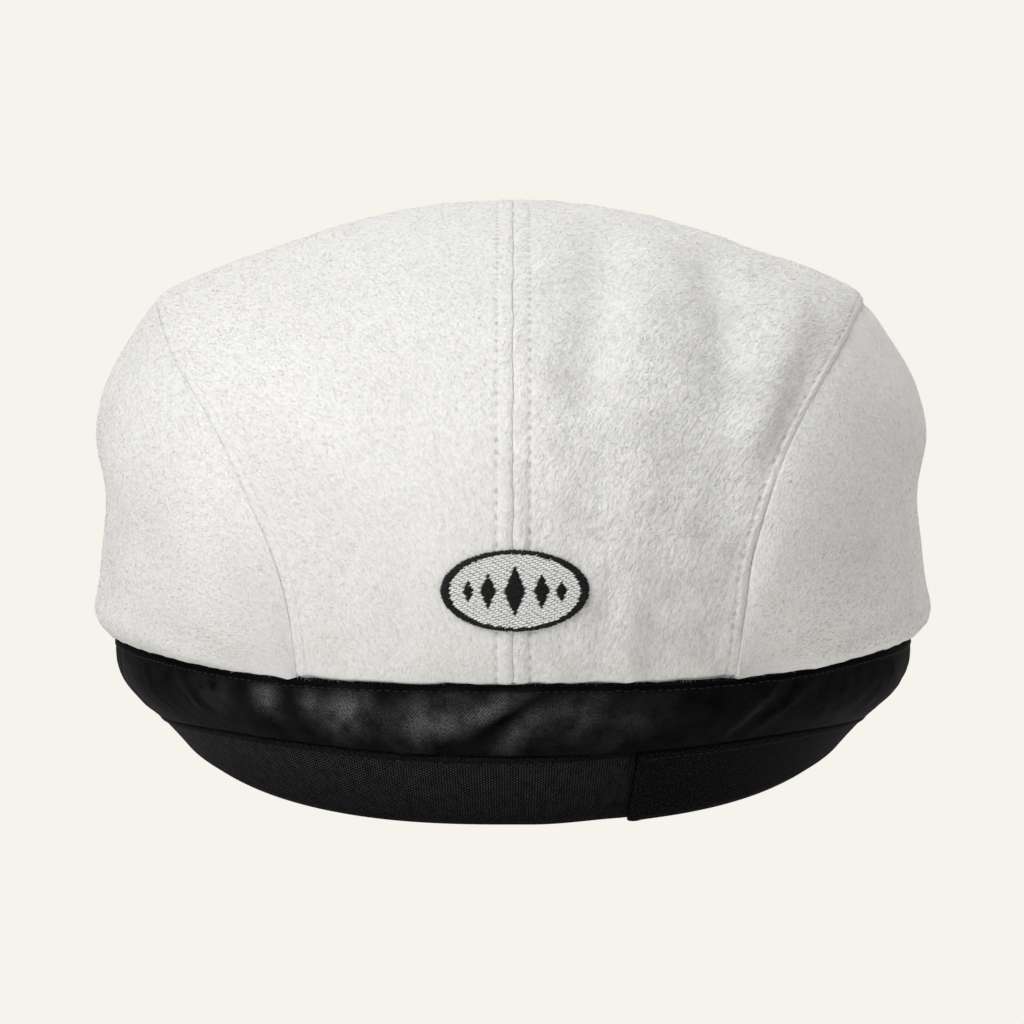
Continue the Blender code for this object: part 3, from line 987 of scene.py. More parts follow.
@dataclass
class SidePanel(Panel):
    """One of the two side panels, from the side seam down to the rim."""

    kind = "side"

    tuck_depth: float = 0.00060
    tuck_reach: float = 0.0060
    outline_tuck: float = 0.0007
    clear_end: float = 0.04
    seam_curve: float = 1.12
    hem_curve: float = 1.05
    full_height: float = 0.012
    nominal_height: float = 0.090
    lattice: Lattice = field(default_factory=lambda: Lattice(23))

    def __post_init__(self) -> None:
        """Works out the rows and columns of the mesh."""
        self.stations, self.seam_lengths = self.crown.lengths(self.sign, 1.0)
        length = self.seam_lengths[-1]
        shares = spacing(length, ((0.006, 0.0006), (0.125, 0.0010), (length, 0.0020)))
        self.rows = np.interp(shares * length, self.seam_lengths, self.stations) / self.crown.last
        tall = self.nominal_height
        self.columns = spacing(tall, ((0.006, 0.0006), (tall - 0.004, 0.0016), (tall, 0.0005)))

    def heights(self, station: Array) -> Array:
        """The panel's rough height at each station."""
        _, seam, angle = self.crown.section(self.sign, station)
        return np.linalg.norm(seam - self.crown.hem_point(self.sign, angle), axis=-1)

    def place(self, across: Array, along: Array, depth: Array) -> Array:
        """The place of each point of the panel, outer face at depth 0 and inner at 1."""
        crown = self.crown
        station = np.clip(along * crown.last, self.clear_end, crown.last - self.clear_end)
        tall = self.heights(station)
        share = (self.seam_gap / 2 + across * (tall - self.seam_gap / 2)) / tall
        outer = crown.beside(self.sign, station, share)
        normal = crown.normals(crown.beside, self.sign, station, share)
        from_seam = share * tall * self.seam_curve
        from_hem = (1 - share) * tall * self.hem_curve
        through = self.through(normal, station, from_seam, from_hem)
        grown = eased(tall / self.full_height)
        rounder = self.outline_tuck * hump(station, self.outline_station, self.outline_span)
        height = -(self.tuck_depth + rounder) * grown * sloped(from_seam, self.tuck_reach)
        height += self.lumps(outer) - rolled(from_hem, self.hem_radius) * grown
        outer[..., 2] += self.uneven_rim(outer, from_hem) * grown
        placed = outer + normal * (height * (1 - depth))[..., None]
        placed -= through * (self.thickness * depth)[..., None]
        return crown.resting(placed)

    def flat(self, across: Array, along: Array) -> Array:
        """The cloth's flat places: rightwards and upwards as seen from behind."""
        length = np.interp(along * self.crown.last, self.stations, self.seam_lengths)
        return np.stack([self.sign * length, (1 - across) * self.nominal_height], -1)

    def nap_share(self, points: Array, across: Array, along: Array) -> Array:
        """How thickly fibres grow at each point: the same everywhere."""
        return np.ones(len(points))

    def build(self) -> Thing:
        """Makes the panel's sheet."""
        return cloth_sheet(Cut(f"fleece_{self.label}", self.place, self.flat), self.columns, self.rows)


@dataclass(frozen=True)
class BandForm:
    """The plain outer forms of the two bands that hang below the crown's rim."""

    crown: CrownForm
    top_ring: Ring = Ring(0.0993, 0.1090, 0.1010)
    joint_ring: Ring = Ring(0.0897, 0.1050, 0.0980)
    foot_ring: Ring = Ring(0.0824, 0.0990, 0.0940)
    bulge_back: float = 0.0014
    bulge_side: float = 0.0038
    peak_starts_at: float = 105.0
    below_peak_top: float = 0.0015
    ribbon_inset: float = 0.0006
    gather_ends: float = 0.02
    gather_fullness: float = 0.7

    @staticmethod
    def turned(angle: Array) -> Array:
        """Angles brought between -180 and 180."""
        return (np.asarray(angle, float) + 180) % 360 - 180

    @staticmethod
    def ring_point(ring: Ring, angle: Array) -> Array:
        """A point of an oval in plan."""
        turn = np.radians(angle)
        reach = np.where(np.cos(turn) > 0, ring.back, ring.front)
        return np.stack([ring.half_width * np.sin(turn), -reach * np.cos(turn)], -1)

    def level(self, angle: Array, column: int) -> Array:
        """The height of one of the lower oval edges: column 1 the joint, 2 the foot."""
        table = np.array(BAND_LEVELS)
        mirrored = np.vstack([table[1] * (-1, 1, 1), table, table[-2] * (-1, 1, 1) + (360, 0, 0)])
        turn = np.abs(self.turned(angle))
        return smooth(mirrored[:, 0], mirrored[:, column : column + 1], turn)

    def top_level(self, angle: Array) -> Array:
        """The height of the satin's upper edge: under the hem, then along the peak."""
        turn = np.abs(self.turned(angle))
        table = np.array(HEM)
        below_hem = smooth(table[:, 0], table[:, 3:], np.minimum(turn, table[-1, 0])) - GAP
        plan = self.ring_point(self.top_ring, turn)
        by_peak = self.crown.peak_height(plan[..., :1], plan[..., 1:]) - self.below_peak_top
        return np.where(turn[..., None] < self.peak_starts_at, below_hem, by_peak)

    def gathers(self, angle: Array, down: Array) -> Array:
        """How far the satin's gathers push each point out."""
        turn = self.turned(angle)
        relief = np.zeros(np.shape(turn))
        for gather in GATHERS:
            middle = gather.top_angle + (gather.bottom_angle - gather.top_angle) * down
            relief += gather.height * hump(turn, middle, gather.width)
        held = np.clip(down, self.gather_ends, 1 - self.gather_ends)
        return relief * np.sin(np.pi * held) ** self.gather_fullness

    def satin(self, angle: Array, down: Array) -> Array:
        """The satin band's outer face."""
        top = np.concatenate([self.ring_point(self.top_ring, angle), self.top_level(angle)], -1)
        joint = np.concatenate([self.ring_point(self.joint_ring, angle), self.level(angle, 1)], -1)
        share = np.asarray(down, float)[..., None]
        beside = np.sin(np.radians(angle))[..., None] ** 2
        bulge = (self.bulge_back + (self.bulge_side - self.bulge_back) * beside) * np.sin(np.pi * share)
        out = unit(self.ring_point(self.top_ring, angle))
        moved = top * (1 - share) + joint * share
        moved[..., :2] += out * (bulge + self.gathers(angle, down)[..., None])
        return moved

    def ribbon(self, angle: Array, down: Array) -> Array:
        """The sweatband's outer face, before its ends lap."""
        start = self.ring_point(self.joint_ring, angle)
        top = np.concatenate([start - unit(start) * self.ribbon_inset, self.level(angle, 1) - GAP], -1)
        foot = np.concatenate([self.ring_point(self.foot_ring, angle), self.level(angle, 2)], -1)
        share = np.asarray(down, float)[..., None]
        return top * (1 - share) + foot * share

    @staticmethod
    def inward(face: Form, angle: Array, down: Array) -> Array:
        """The way from a band's outer face into its wall."""
        around = face(angle + 0.5, down) - face(angle - 0.5, down)
        along = face(angle, down + 0.01) - face(angle, down - 0.01)
        return unit(np.cross(around, along))

    def lengths(self, face: Form, down: float) -> tuple[Array, Array]:
        """Angles round the whole band and the distance to each along one line of its face."""
        angles = np.linspace(-180, 180, 1441)
        return angles, distances(face(angles, np.full_like(angles, down)))


@dataclass
class Band:
    """What the two bands below the rim share: a strip of cloth with a folded upper hem."""

    name: ClassVar[str]

    form: BandForm
    thickness: float = 0.0010
    around: int = 760
    tall: float = 0.0185
    fine_reach: float = 0.0030
    fine_step: float = 0.00035
    step: float = 0.00085
    hem_fold: float = 0.0016
    hem_raise: float = 0.00028
    hem_slope: float = 0.00035
    edge_radius: float = 0.0005

    def __post_init__(self) -> None:
        """Works out the columns down the band and its length."""
        self.downs = spacing(self.tall, ((self.fine_reach, self.fine_step), (self.tall, self.step)))
        self.angles, self.run = self.form.lengths(self.face, 0.5)

    def hem(self, from_top: Array) -> Array:
        """How far the folded hem stands out, with its rounded upper edge."""
        folded = 1 - eased((from_top - self.hem_fold) / self.hem_slope + 0.5)
        return self.hem_raise * folded - rolled(from_top, self.edge_radius)


@dataclass
class SatinBand(Band):
    """The satin band, with its folded upper hem and its soft creases."""

    name = "satin_hem_band"

    wrinkle: float = 0.00016
    wrinkle_size: float = 0.0048
    small_wrinkle: float = 0.45
    small_wrinkle_size: float = 0.0023
    # Painted sheen everywhere, the share of it kept on the hem, and the reach over which it fades in below
    # the hem.
    base_sheen: float = 0.055
    hem_sheen: float = 0.25
    hem_shadow: float = 0.0006
    lattice: Lattice = field(default_factory=lambda: Lattice(37))

    @property
    def face(self) -> Form:
        """The plain form of the outer face."""
        return self.form.satin

    def relief(self, outer: Array, angle: Array, down: Array) -> Array:
        """How far hem, creases and wrinkles push the outer face out."""
        from_top = down * self.tall
        height = self.hem(from_top)
        width_per_degree = self.run[-1] / 360
        scale = np.array((width_per_degree, self.tall))
        flat = np.stack([self.form.turned(angle) * width_per_degree, from_top], -1)
        for crease in CREASES:
            start, end = np.array(crease[:2]) * scale, np.array(crease[2:4]) * scale
            height += ridge(flat, start, end, crease.width, crease.height)
        slanted = outer + (outer[..., 2:] * (1.2, 0, 0))
        soft = self.wrinkle * np.sin(np.pi * np.clip(down, 0.0, 1.0)) ** 0.5
        height += soft * self.lattice.at(slanted * (1, 1, 0.7), self.wrinkle_size)
        return height + soft * self.small_wrinkle * self.lattice.at(slanted + 0.2, self.small_wrinkle_size)

    def angle_at(self, along: Array) -> Array:
        """The angle from the back at a share along the band."""
        return along * 360

    def place(self, down: Array, along: Array, depth: Array) -> Array:
        """The place of each point of the band, outer face at depth 0 and inner at 1."""
        angle = self.angle_at(along)
        outer = self.form.satin(angle, down)
        through = self.form.inward(self.form.satin, angle, down)
        height = self.relief(outer, angle, down) * (1 - 0.5 * depth)
        return outer + through * (self.thickness * depth - height)[..., None]

    def flat(self, down: Array, along: Array) -> Array:
        """The cloth's flat places: along the band and up."""
        turn = self.form.turned(self.angle_at(along))
        return np.stack([np.interp(turn, self.angles, self.run), (1 - down) * self.tall], -1)

    def sheen(self, down: Array, along: Array) -> Array:
        """How much painted sheen the satin's colour carries at each point, from 0 to 1: painted highlights,
        dimmed by the patches of painted shade and on the hem.
        """
        turn = self.form.turned(self.angle_at(along))
        total = np.full(np.shape(turn), self.base_sheen)
        shade = np.ones(np.shape(turn))
        for patch in PAINTED_SHEENS:
            middle = patch.angle + patch.slant * (down - patch.down)
            near = hump(turn, middle, patch.wide) * hump(down, patch.down, patch.tall)
            total += max(patch.strength, 0) * near
            shade *= 1 + min(patch.strength, 0) * near
        below_hem = eased((down * self.tall - self.hem_fold) / self.hem_shadow + 0.6)
        return np.clip(total * shade, 0, 1) * (self.hem_sheen + (1 - self.hem_sheen) * below_hem)

    def build(self) -> Thing:
        """Makes the band as a closed tube with two faces."""
        cut = Cut(self.name, self.place, self.flat, PAINTED_SHEEN_LAYER, self.sheen)
        return cloth_tube(cut, self.downs, self.around)


@dataclass
class Sweatband(Band):
    """The ribbed ribbon below the satin, one strip whose ends lap at the back."""

    name = "ribbed_sweatband"

    thickness: float = 0.0014
    tall: float = 0.0180
    fine_step: float = 0.00050
    step: float = 0.00150
    hem_fold: float = 0.0022
    hem_raise: float = 0.00022
    hem_slope: float = 0.0004
    lap_angle: float = 19.0
    lap_length: float = 7.0
    lap_ramp: float = 16.0
    foot_radius: float = 0.0006
    edge_lift: float = 0.00050
    edge_lift_fades: float = 0.0030
    end_fold: Groove = Groove(-0.00030, 0.0022, 0.0012)

    @property
    def face(self) -> Form:
        """The plain form of the outer face."""
        return self.form.ribbon

    def angle_at(self, along: Array) -> Array:
        """The angle from the back at a share along the strip."""
        return self.lap_angle + along * (360 + self.lap_length)

    def place(self, down: Array, along: Array, depth: Array) -> Array:
        """The place of each point of the strip, outer face at depth 0 and inner at 1."""
        angle = self.angle_at(along)
        outer = self.form.ribbon(angle, down)
        through = self.form.inward(self.form.ribbon, angle, down)
        ramp = (angle - (360 + self.lap_angle - self.lap_ramp)) / (self.lap_ramp - 2)
        under = eased(ramp) * (self.thickness + GAP)
        from_top = down * self.tall
        length = along * self.run[-1] * (360 + self.lap_length) / 360
        height = self.hem(from_top) - rolled(self.tall - from_top, self.foot_radius)
        height += self.edge_lift * np.exp(-length / self.edge_lift_fades) - rolled(length, self.edge_radius)
        height -= self.end_fold.at(length)
        return outer + through * (self.thickness * depth + under - height * (1 - depth))[..., None]

    def flat(self, down: Array, along: Array) -> Array:
        """The cloth's flat places: along the strip and up."""
        return np.stack([along * self.run[-1], (1 - down) * self.tall], -1)

    def build(self) -> Thing:
        """Makes the strip's sheet."""
        cut = Cut(self.name, self.place, self.flat)
        return cloth_sheet(cut, self.downs, np.linspace(0, 1, self.around + 1))


@dataclass
class Peak:
    """The short peak, covered in the same fleece."""

    crown: CrownForm
    board: float = 0.0040
    inner: Ring = Ring(0.0999, 0.1100, 0.1016)
    corner: float = 66.0
    outline_y: float = 0.0400
    outline_width: float = 0.0945
    outline_reach: float = 0.1180
    outline_corner: float = 88.0
    edge_start: float = 0.88
    edge_left: float = 0.12
    end_left: float = 0.40
    end_length: float = 0.14
    row: Groove = Groove(0.00035, 0.80, 0.014)
    lump: float = 0.00008
    lump_size: float = 0.008
    lattice: Lattice = field(default_factory=lambda: Lattice(53))

    def plan(self, across: Array, along: Array) -> Array:
        """The peak's points seen from above, from the head (0) to the outer edge (1)."""
        share = 2 * along - 1
        inner = BandForm.ring_point(self.inner, 180 - share * self.corner)
        turn = np.radians(share * self.outline_corner)
        outer_y = self.outline_y + self.outline_reach * np.cos(turn)
        outer = np.stack([self.outline_width * np.sin(turn), outer_y], -1)
        return inner * (1 - across[..., None]) + outer * across[..., None]

    def place(self, across: Array, along: Array, depth: Array) -> Array:
        """The place of each point of the peak, upper face at depth 0 and lower at 1."""
        plan = self.plan(across, along)
        edge = np.clip((across - self.edge_start) / (1 - self.edge_start), 0, 1)
        half = self.board / 2 * (self.edge_left + (1 - self.edge_left) * np.sqrt(1 - edge**2))
        from_end = (1 - np.abs(2 * along - 1)) / self.end_length
        half = half * (self.end_left + (1 - self.end_left) * eased(from_end))
        middle = self.crown.peak_height(plan[..., 0], plan[..., 1]) - self.board / 2
        points = np.concatenate([plan, middle[..., None]], -1)
        half = half - self.row.at(across) + self.lump * self.lattice.at(points, self.lump_size)
        points[..., 2] += half * (1 - 2 * depth)
        return points

    def build(self) -> Thing:
        """Makes the covered board."""
        columns = np.concatenate([np.linspace(0, 0.78, 22), np.linspace(0.79, 1, 20)])
        return cloth_sheet(Cut("fleece_peak", self.place, self.plan), columns, np.linspace(0, 1, 181))


class Strands:
    """Many short threads or hairs as one mesh, each a small closed shape."""

    def __init__(self) -> None:
        """Starts with no strands."""
        self.points: list[Array] = []
        self.faces: list[Array] = []
        self.count = 0

    def spikes(self, root: Array, tip: Array, side: Array, width: Array) -> None:
        """Adds thin pointed hairs of four faces each.

        Args:
            root: Where each starts.
            tip: Where each ends.
            side: A unit vector across each hair.
            width: Each hair's width at its root.
        """
        lift = unit(np.cross(tip - root, side))
        half = width[:, None] / 2
        corners = np.stack([root - side * half, root + side * half, root + lift * half * 1.2, tip], 1)
        start = self.count + np.arange(len(root))[:, None, None] * 4
        pattern = np.array([[0, 2, 1], [0, 1, 3], [1, 2, 3], [2, 0, 3]])
        self.points.append(corners.reshape(-1, 3))
        self.faces.append((start + pattern[None]).reshape(-1, 3))
        self.count += 4 * len(root)

    def threads(self, start: Array, end: Array, normal: Array, width: float, height: float) -> None:
        """Adds short rounded threads that are pinched at both ends.

        Args:
            start: Where each starts.
            end: Where each ends.
            normal: The way out of the cloth at each.
            width: Their width.
            height: How far they stand up.
        """
        run = end - start
        side = unit(np.cross(run, normal)) * width / 2
        up = unit(normal) * height
        shares = (0.10, 0.32, 0.68, 0.90)
        fulls = (0.62, 1.0, 1.0, 0.62)
        rings = [start - up * 0.25]
        for share, full in zip(shares, fulls):
            middle = start + run * share
            rings += [middle - side * full, middle + up * full, middle + side * full, middle - up * 0.5]
        rings.append(end - up * 0.25)
        corners = np.stack(rings, 1)
        pattern = [[0, 1 + i, 1 + (i + 1) % 4] for i in range(4)]
        for ring in range(len(shares) - 1):
            low = 1 + ring * 4
            for i in range(4):
                after = (i + 1) % 4
                pattern.append([low + i, low + 4 + i, low + 4 + after])
                pattern.append([low + i, low + 4 + after, low + after])
        last = 1 + 4 * len(shares)
        pattern += [[last, last - 4 + (i + 1) % 4, last - 4 + i] for i in range(4)]
        offsets = self.count + np.arange(len(start))[:, None, None] * corners.shape[1]
        self.points.append(corners.reshape(-1, 3))
        self.faces.append((offsets + np.array(pattern)[None]).reshape(-1, 3))
        self.count += corners.shape[1] * len(start)

    def build(self, name: str) -> Thing:
        """Makes the one mesh of all strands, faces outwards."""
        thing = joined_mesh(name, np.concatenate(self.points), np.concatenate(self.faces))
        faces_out(thing)
        thing.data.shade_smooth()
        return thing


@dataclass
class Badge:
    """The oval embroidered patch: pale slanting fill, black border and a row of lozenges."""

    crown: CrownForm
    middle_x: float = 0.0004
    middle_z: float = 0.0468
    half_width: float = 0.01675
    half_height: float = 0.0093
    cloth_lift: float = 0.00095
    inner_width: float = 0.01440
    inner_height: float = 0.00815
    ground_reach: float = 0.0006
    border_pitch: float = 0.00027
    ragged: float = 0.00019
    fill_row: float = 0.00056
    fill_pitch: float = 0.00125
    fill_length: float = 0.00128
    fill_slant: float = 15.0
    fill_thread: float = 0.00056
    fill_height: float = 0.00018
    fill_stray: float = 0.00005
    under: float = 0.0003
    stray_turn: float = 0.006
    layer_lift: float = 0.00012
    layer_inset: float = 0.00015
    border_sink: float = 0.00035
    border_height: float = 0.00024
    lozenge_pitch: float = 0.00026
    lozenge_stray: float = 0.00004
    lozenge_slant: float = 0.0001
    lozenge_thread: float = 0.00037
    lozenge_height: float = 0.00027
    seam_dip: float = 0.00022
    dip_width: float = 0.0009
    behind_y: float = -0.08
    lozenges: tuple[tuple[float, float, float], ...] = (
        (-0.0104, 0.00135, 0.0023),
        (-0.0060, 0.00200, 0.0039),
        (0.0, 0.0027, 0.0055),
        (0.0060, 0.00200, 0.0039),
        (0.0104, 0.00135, 0.0023),
    )

    def back_place(self, x: Array, z: Array) -> tuple[Array, Array, Array]:
        """The side, station and share across of the crown's back under points of the back view."""
        crown = self.crown
        rows = np.linspace(0, 8, 400)
        heights = crown.section(1, rows)[0][:, 2]
        side = np.where(x < 0, -1, 1)
        station = np.interp(z, heights, rows)
        across = np.zeros_like(station)
        for _ in range(8):
            middle, left_seam, _ = crown.section(-1, station)
            right_seam = crown.section(1, station)[1]
            seam = np.where((side < 0)[..., None], left_seam, right_seam)
            across = np.abs(x / seam[..., 0])
            rise = across**crown.section_power * (seam[..., 2] - middle[..., 2])
            station = np.interp(z - rise, heights, rows)
        return side, station, across

    def on_back(self, x: Array, z: Array, lift: Array) -> tuple[Array, Array]:
        """Points above the crown's back and the way out there.

        Args:
            x: Places to the right of the badge's middle.
            z: Places above its middle.
            lift: Heights above the fleece.

        Returns:
            The points and the normals.
        """
        side, station, share = self.back_place(x + self.middle_x, z + self.middle_z)
        left = (side < 0)[..., None]
        crown = self.crown
        place = np.where(left, crown.top(-1, station, share), crown.top(1, station, share))
        left_normal = crown.normals(crown.top, -1, station, share)
        right_normal = crown.normals(crown.top, 1, station, share)
        normal = np.where(left, left_normal, right_normal)
        sunk = self.seam_dip * hump(x + self.middle_x, 0.0, self.dip_width)
        return place + normal * (np.asarray(lift) - sunk)[..., None], normal

    @staticmethod
    def in_oval(x: Array, z: Array, half_width: float, half_height: float) -> Array:
        """Whether points lie inside an oval round the badge's middle."""
        return (x / half_width) ** 2 + (z / half_height) ** 2 < 1

    def covers(self, points: Array, inset: float) -> Array:
        """Whether points of the crown lie under the patch, this far in from its edge."""
        x, z = points[:, 0] - self.middle_x, points[:, 2] - self.middle_z
        inside = self.in_oval(x, z, self.half_width - inset, self.half_height - inset)
        return inside & (points[:, 1] < self.behind_y)

    def in_lozenge(self, x: Array, z: Array, grown: float) -> Array:
        """Whether points lie in one of the lozenges, each made larger by this much."""
        found = np.zeros(np.shape(x), bool)
        for middle, wide, tall in self.lozenges:
            found |= np.abs(x - middle) / (wide + grown) + np.abs(z) / (tall + grown) < 1
        return found

    def cloth(self, across: Array, along: Array, depth: Array) -> Array:
        """The place of each point of the patch's ground cloth."""
        first, second = 2 * across - 1, 2 * along - 1
        x = (self.inner_width + self.ground_reach) * first * np.sqrt(1 - second**2 / 2)
        z = (self.inner_height + self.ground_reach) * second * np.sqrt(1 - first**2 / 2)
        return self.on_back(x, z, GAP + (self.cloth_lift - GAP) * (1 - depth))[0]

    def flat(self, across: Array, along: Array) -> Array:
        """The ground cloth's flat places."""
        return np.stack([across * self.half_width * 2, along * self.half_height * 2], -1)

    def build_cloth(self) -> Thing:
        """Makes the patch's ground cloth."""
        cut = Cut("badge_cloth", self.cloth, self.flat)
        return cloth_sheet(cut, np.linspace(0, 1, 49), np.linspace(0, 1, 33))

    def fill_threads(self) -> Strands:
        """The pale stitches of the ground, nearly level and laid like bricks."""
        rng = np.random.default_rng(5)
        strands = Strands()
        slope = math.tan(math.radians(self.fill_slant))
        reach = self.half_height * 1.5
        wide, tall = self.inner_width + self.under, self.inner_height + self.under
        for number, low in enumerate(np.arange(-reach, reach, self.fill_row)):
            offset = (number % 2) * self.fill_pitch / 2
            x = np.arange(-self.half_width, self.half_width, self.fill_pitch) + offset
            x = x + rng.normal(0, self.fill_stray, len(x))
            far = x + self.fill_length
            first_z = low + slope * x + rng.normal(0, self.fill_stray * 0.6, len(x))
            last_z = first_z + slope * self.fill_length
            middle_x, middle_z = (x + far) / 2, (first_z + last_z) / 2
            kept = self.in_oval(middle_x, middle_z, wide, tall)
            kept &= ~self.in_lozenge(middle_x, middle_z, -0.0001)
            if kept.any():
                lift = np.full(int(kept.sum()), self.cloth_lift + 0.00002)
                start, normal = self.on_back(x[kept], first_z[kept], lift)
                end, _ = self.on_back(far[kept], last_z[kept], lift)
                strands.threads(start, end, normal, self.fill_thread, self.fill_height)
        return strands

    def black_threads(self) -> Strands:
        """The black satin stitches of the border, in two layers, and of the lozenges."""
        rng = np.random.default_rng(6)
        strands = Strands()
        turn = np.linspace(0, 2 * math.pi, 4000)
        run = distances(np.stack([self.half_width * np.cos(turn), self.half_height * np.sin(turn)], -1))
        count = int(run[-1] / self.border_pitch)
        turn = np.interp(np.linspace(0, run[-1], count, endpoint=False), run, turn)
        for layer in range(2):
            lift = self.cloth_lift + layer * self.layer_lift
            drawn_in = layer * self.layer_inset
            inner_turn = turn + rng.normal(0, self.stray_turn, count)
            outer_turn = turn + rng.normal(0, self.stray_turn, count)
            inset = drawn_in + rng.normal(0, self.ragged * 0.6, count)
            inner_x = (self.inner_width + inset) * np.cos(inner_turn)
            inner_z = (self.inner_height + inset) * np.sin(inner_turn)
            inset = drawn_in + np.abs(rng.normal(0, self.ragged, count)) - self.ragged
            outer_x = (self.half_width - inset) * np.cos(outer_turn)
            outer_z = (self.half_height - inset) * np.sin(outer_turn)
            start, normal = self.on_back(inner_x, inner_z, np.full(count, lift))
            end, _ = self.on_back(outer_x, outer_z, np.full(count, lift - self.border_sink))
            strands.threads(start, end, normal, self.border_pitch * 1.55, self.border_height)
        for centre, wide, tall in self.lozenges:
            z = np.arange(-tall, tall, self.lozenge_pitch)
            half = wide * (1 - np.abs(z) / tall) + 0.00012 + rng.normal(0, self.lozenge_stray, len(z))
            lift = np.full(len(z), self.cloth_lift)
            start, normal = self.on_back(centre - half, z - self.lozenge_slant, lift)
            end, _ = self.on_back(centre + half, z + self.lozenge_slant, lift)
            strands.threads(start, end, normal, self.lozenge_thread, self.lozenge_height)
        return strands


@dataclass
class Nap:
    """The fleece's short brushed fibres on one panel."""

    panel: Panel
    badge: Badge
    fibres: int
    seed: int
    short: float = 0.0008
    long: float = 0.0023
    thin: float = 0.00007
    thick: float = 0.00022
    least_lift: float = 0.5
    most_lift: float = 6.5
    sunk: float = 0.00008
    jitter: float = 34.0
    back_boost: float = 2.4
    boost_over: float = 0.05
    near_rim: float = 0.0268
    rim_length: float = 0.35
    edge: float = 0.004
    cells: tuple[int, int] = (60, 120)
    way_blur: float = 0.0002

    def way_at(self, points: Array) -> Array:
        """The brushing angle at each point, in radians, from the table of ways."""
        table = np.array(NAP_WAYS)
        away = np.linalg.norm(points[:, None, [0, 2]] - table[None, :, :2], axis=-1)
        weight = 1 / (away**2 + self.way_blur)
        turn = np.radians(table[:, 2]) * 2
        return np.arctan2(weight @ np.sin(turn), weight @ np.cos(turn)) / 2 % math.pi

    def frames(self, across: Array, along: Array) -> tuple[Array, Array, Array, Array]:
        """Points of the outer face with the local ways out and up, and their area.

        Args:
            across: Shares across the panel.
            along: Shares along it.

        Returns:
            The points, the normals, the ways up and the area of a unit patch.
        """
        outer = np.zeros_like(across)
        step = self.edge
        place = self.panel.place
        by_across = place(across + step, along, outer) - place(across - step, along, outer)
        by_along = place(across, along + step, outer) - place(across, along - step, outer)
        cross = np.cross(by_across, by_along) * self.panel.sign
        area = np.linalg.norm(cross, axis=-1) / (4 * step * step)
        up = by_along if isinstance(self.panel, TopPanel) else np.broadcast_to(UPWARDS, cross.shape)
        return place(across, along, outer), unit(cross), unit(up), area

    def build(self) -> Thing:
        """Makes the panel's fibres as one mesh."""
        rng = np.random.default_rng(self.seed)
        middles = np.meshgrid(*[(np.arange(count) + 0.5) / count for count in self.cells], indexing="ij")
        across, along = (middle.ravel() for middle in middles)
        points, _, _, area = self.frames(across, along)
        dense = area * (1 + (self.back_boost - 1) * eased(-points[:, 1] / self.boost_over))
        chosen = rng.choice(len(dense), self.fibres, p=dense / dense.sum())
        moved = [
            np.clip(share[chosen] + rng.uniform(-0.5, 0.5, self.fibres) / count, self.edge, 1 - self.edge)
            for share, count in zip((across, along), self.cells)
        ]
        points, normal, up, _ = self.frames(*moved)
        kept = rng.random(self.fibres) < self.panel.nap_share(points, *moved)
        kept &= ~self.badge.covers(points, -0.0002)
        points, normal, up = points[kept], normal[kept], up[kept]
        count = len(points)
        right = unit(np.cross(up, normal))
        turn = (self.way_at(points) + np.radians(rng.normal(0, self.jitter, count)))[:, None]
        lie = np.cos(turn) * right + np.sin(turn) * unit(np.cross(normal, right))
        lift = np.radians(rng.uniform(self.least_lift, self.most_lift, count))[:, None]
        length = rng.uniform(self.short, self.long, count)[:, None]
        length = length * np.where(points[:, 2:] < self.near_rim, self.rim_length, 1)
        tip = points + length * (np.cos(lift) * lie + np.sin(lift) * normal)
        strands = Strands()
        width = rng.uniform(self.thin, self.thick, count)
        strands.spikes(points - normal * self.sunk, tip, unit(np.cross(lie, normal)), width)
        return strands.build(f"nap_{self.panel.label}")


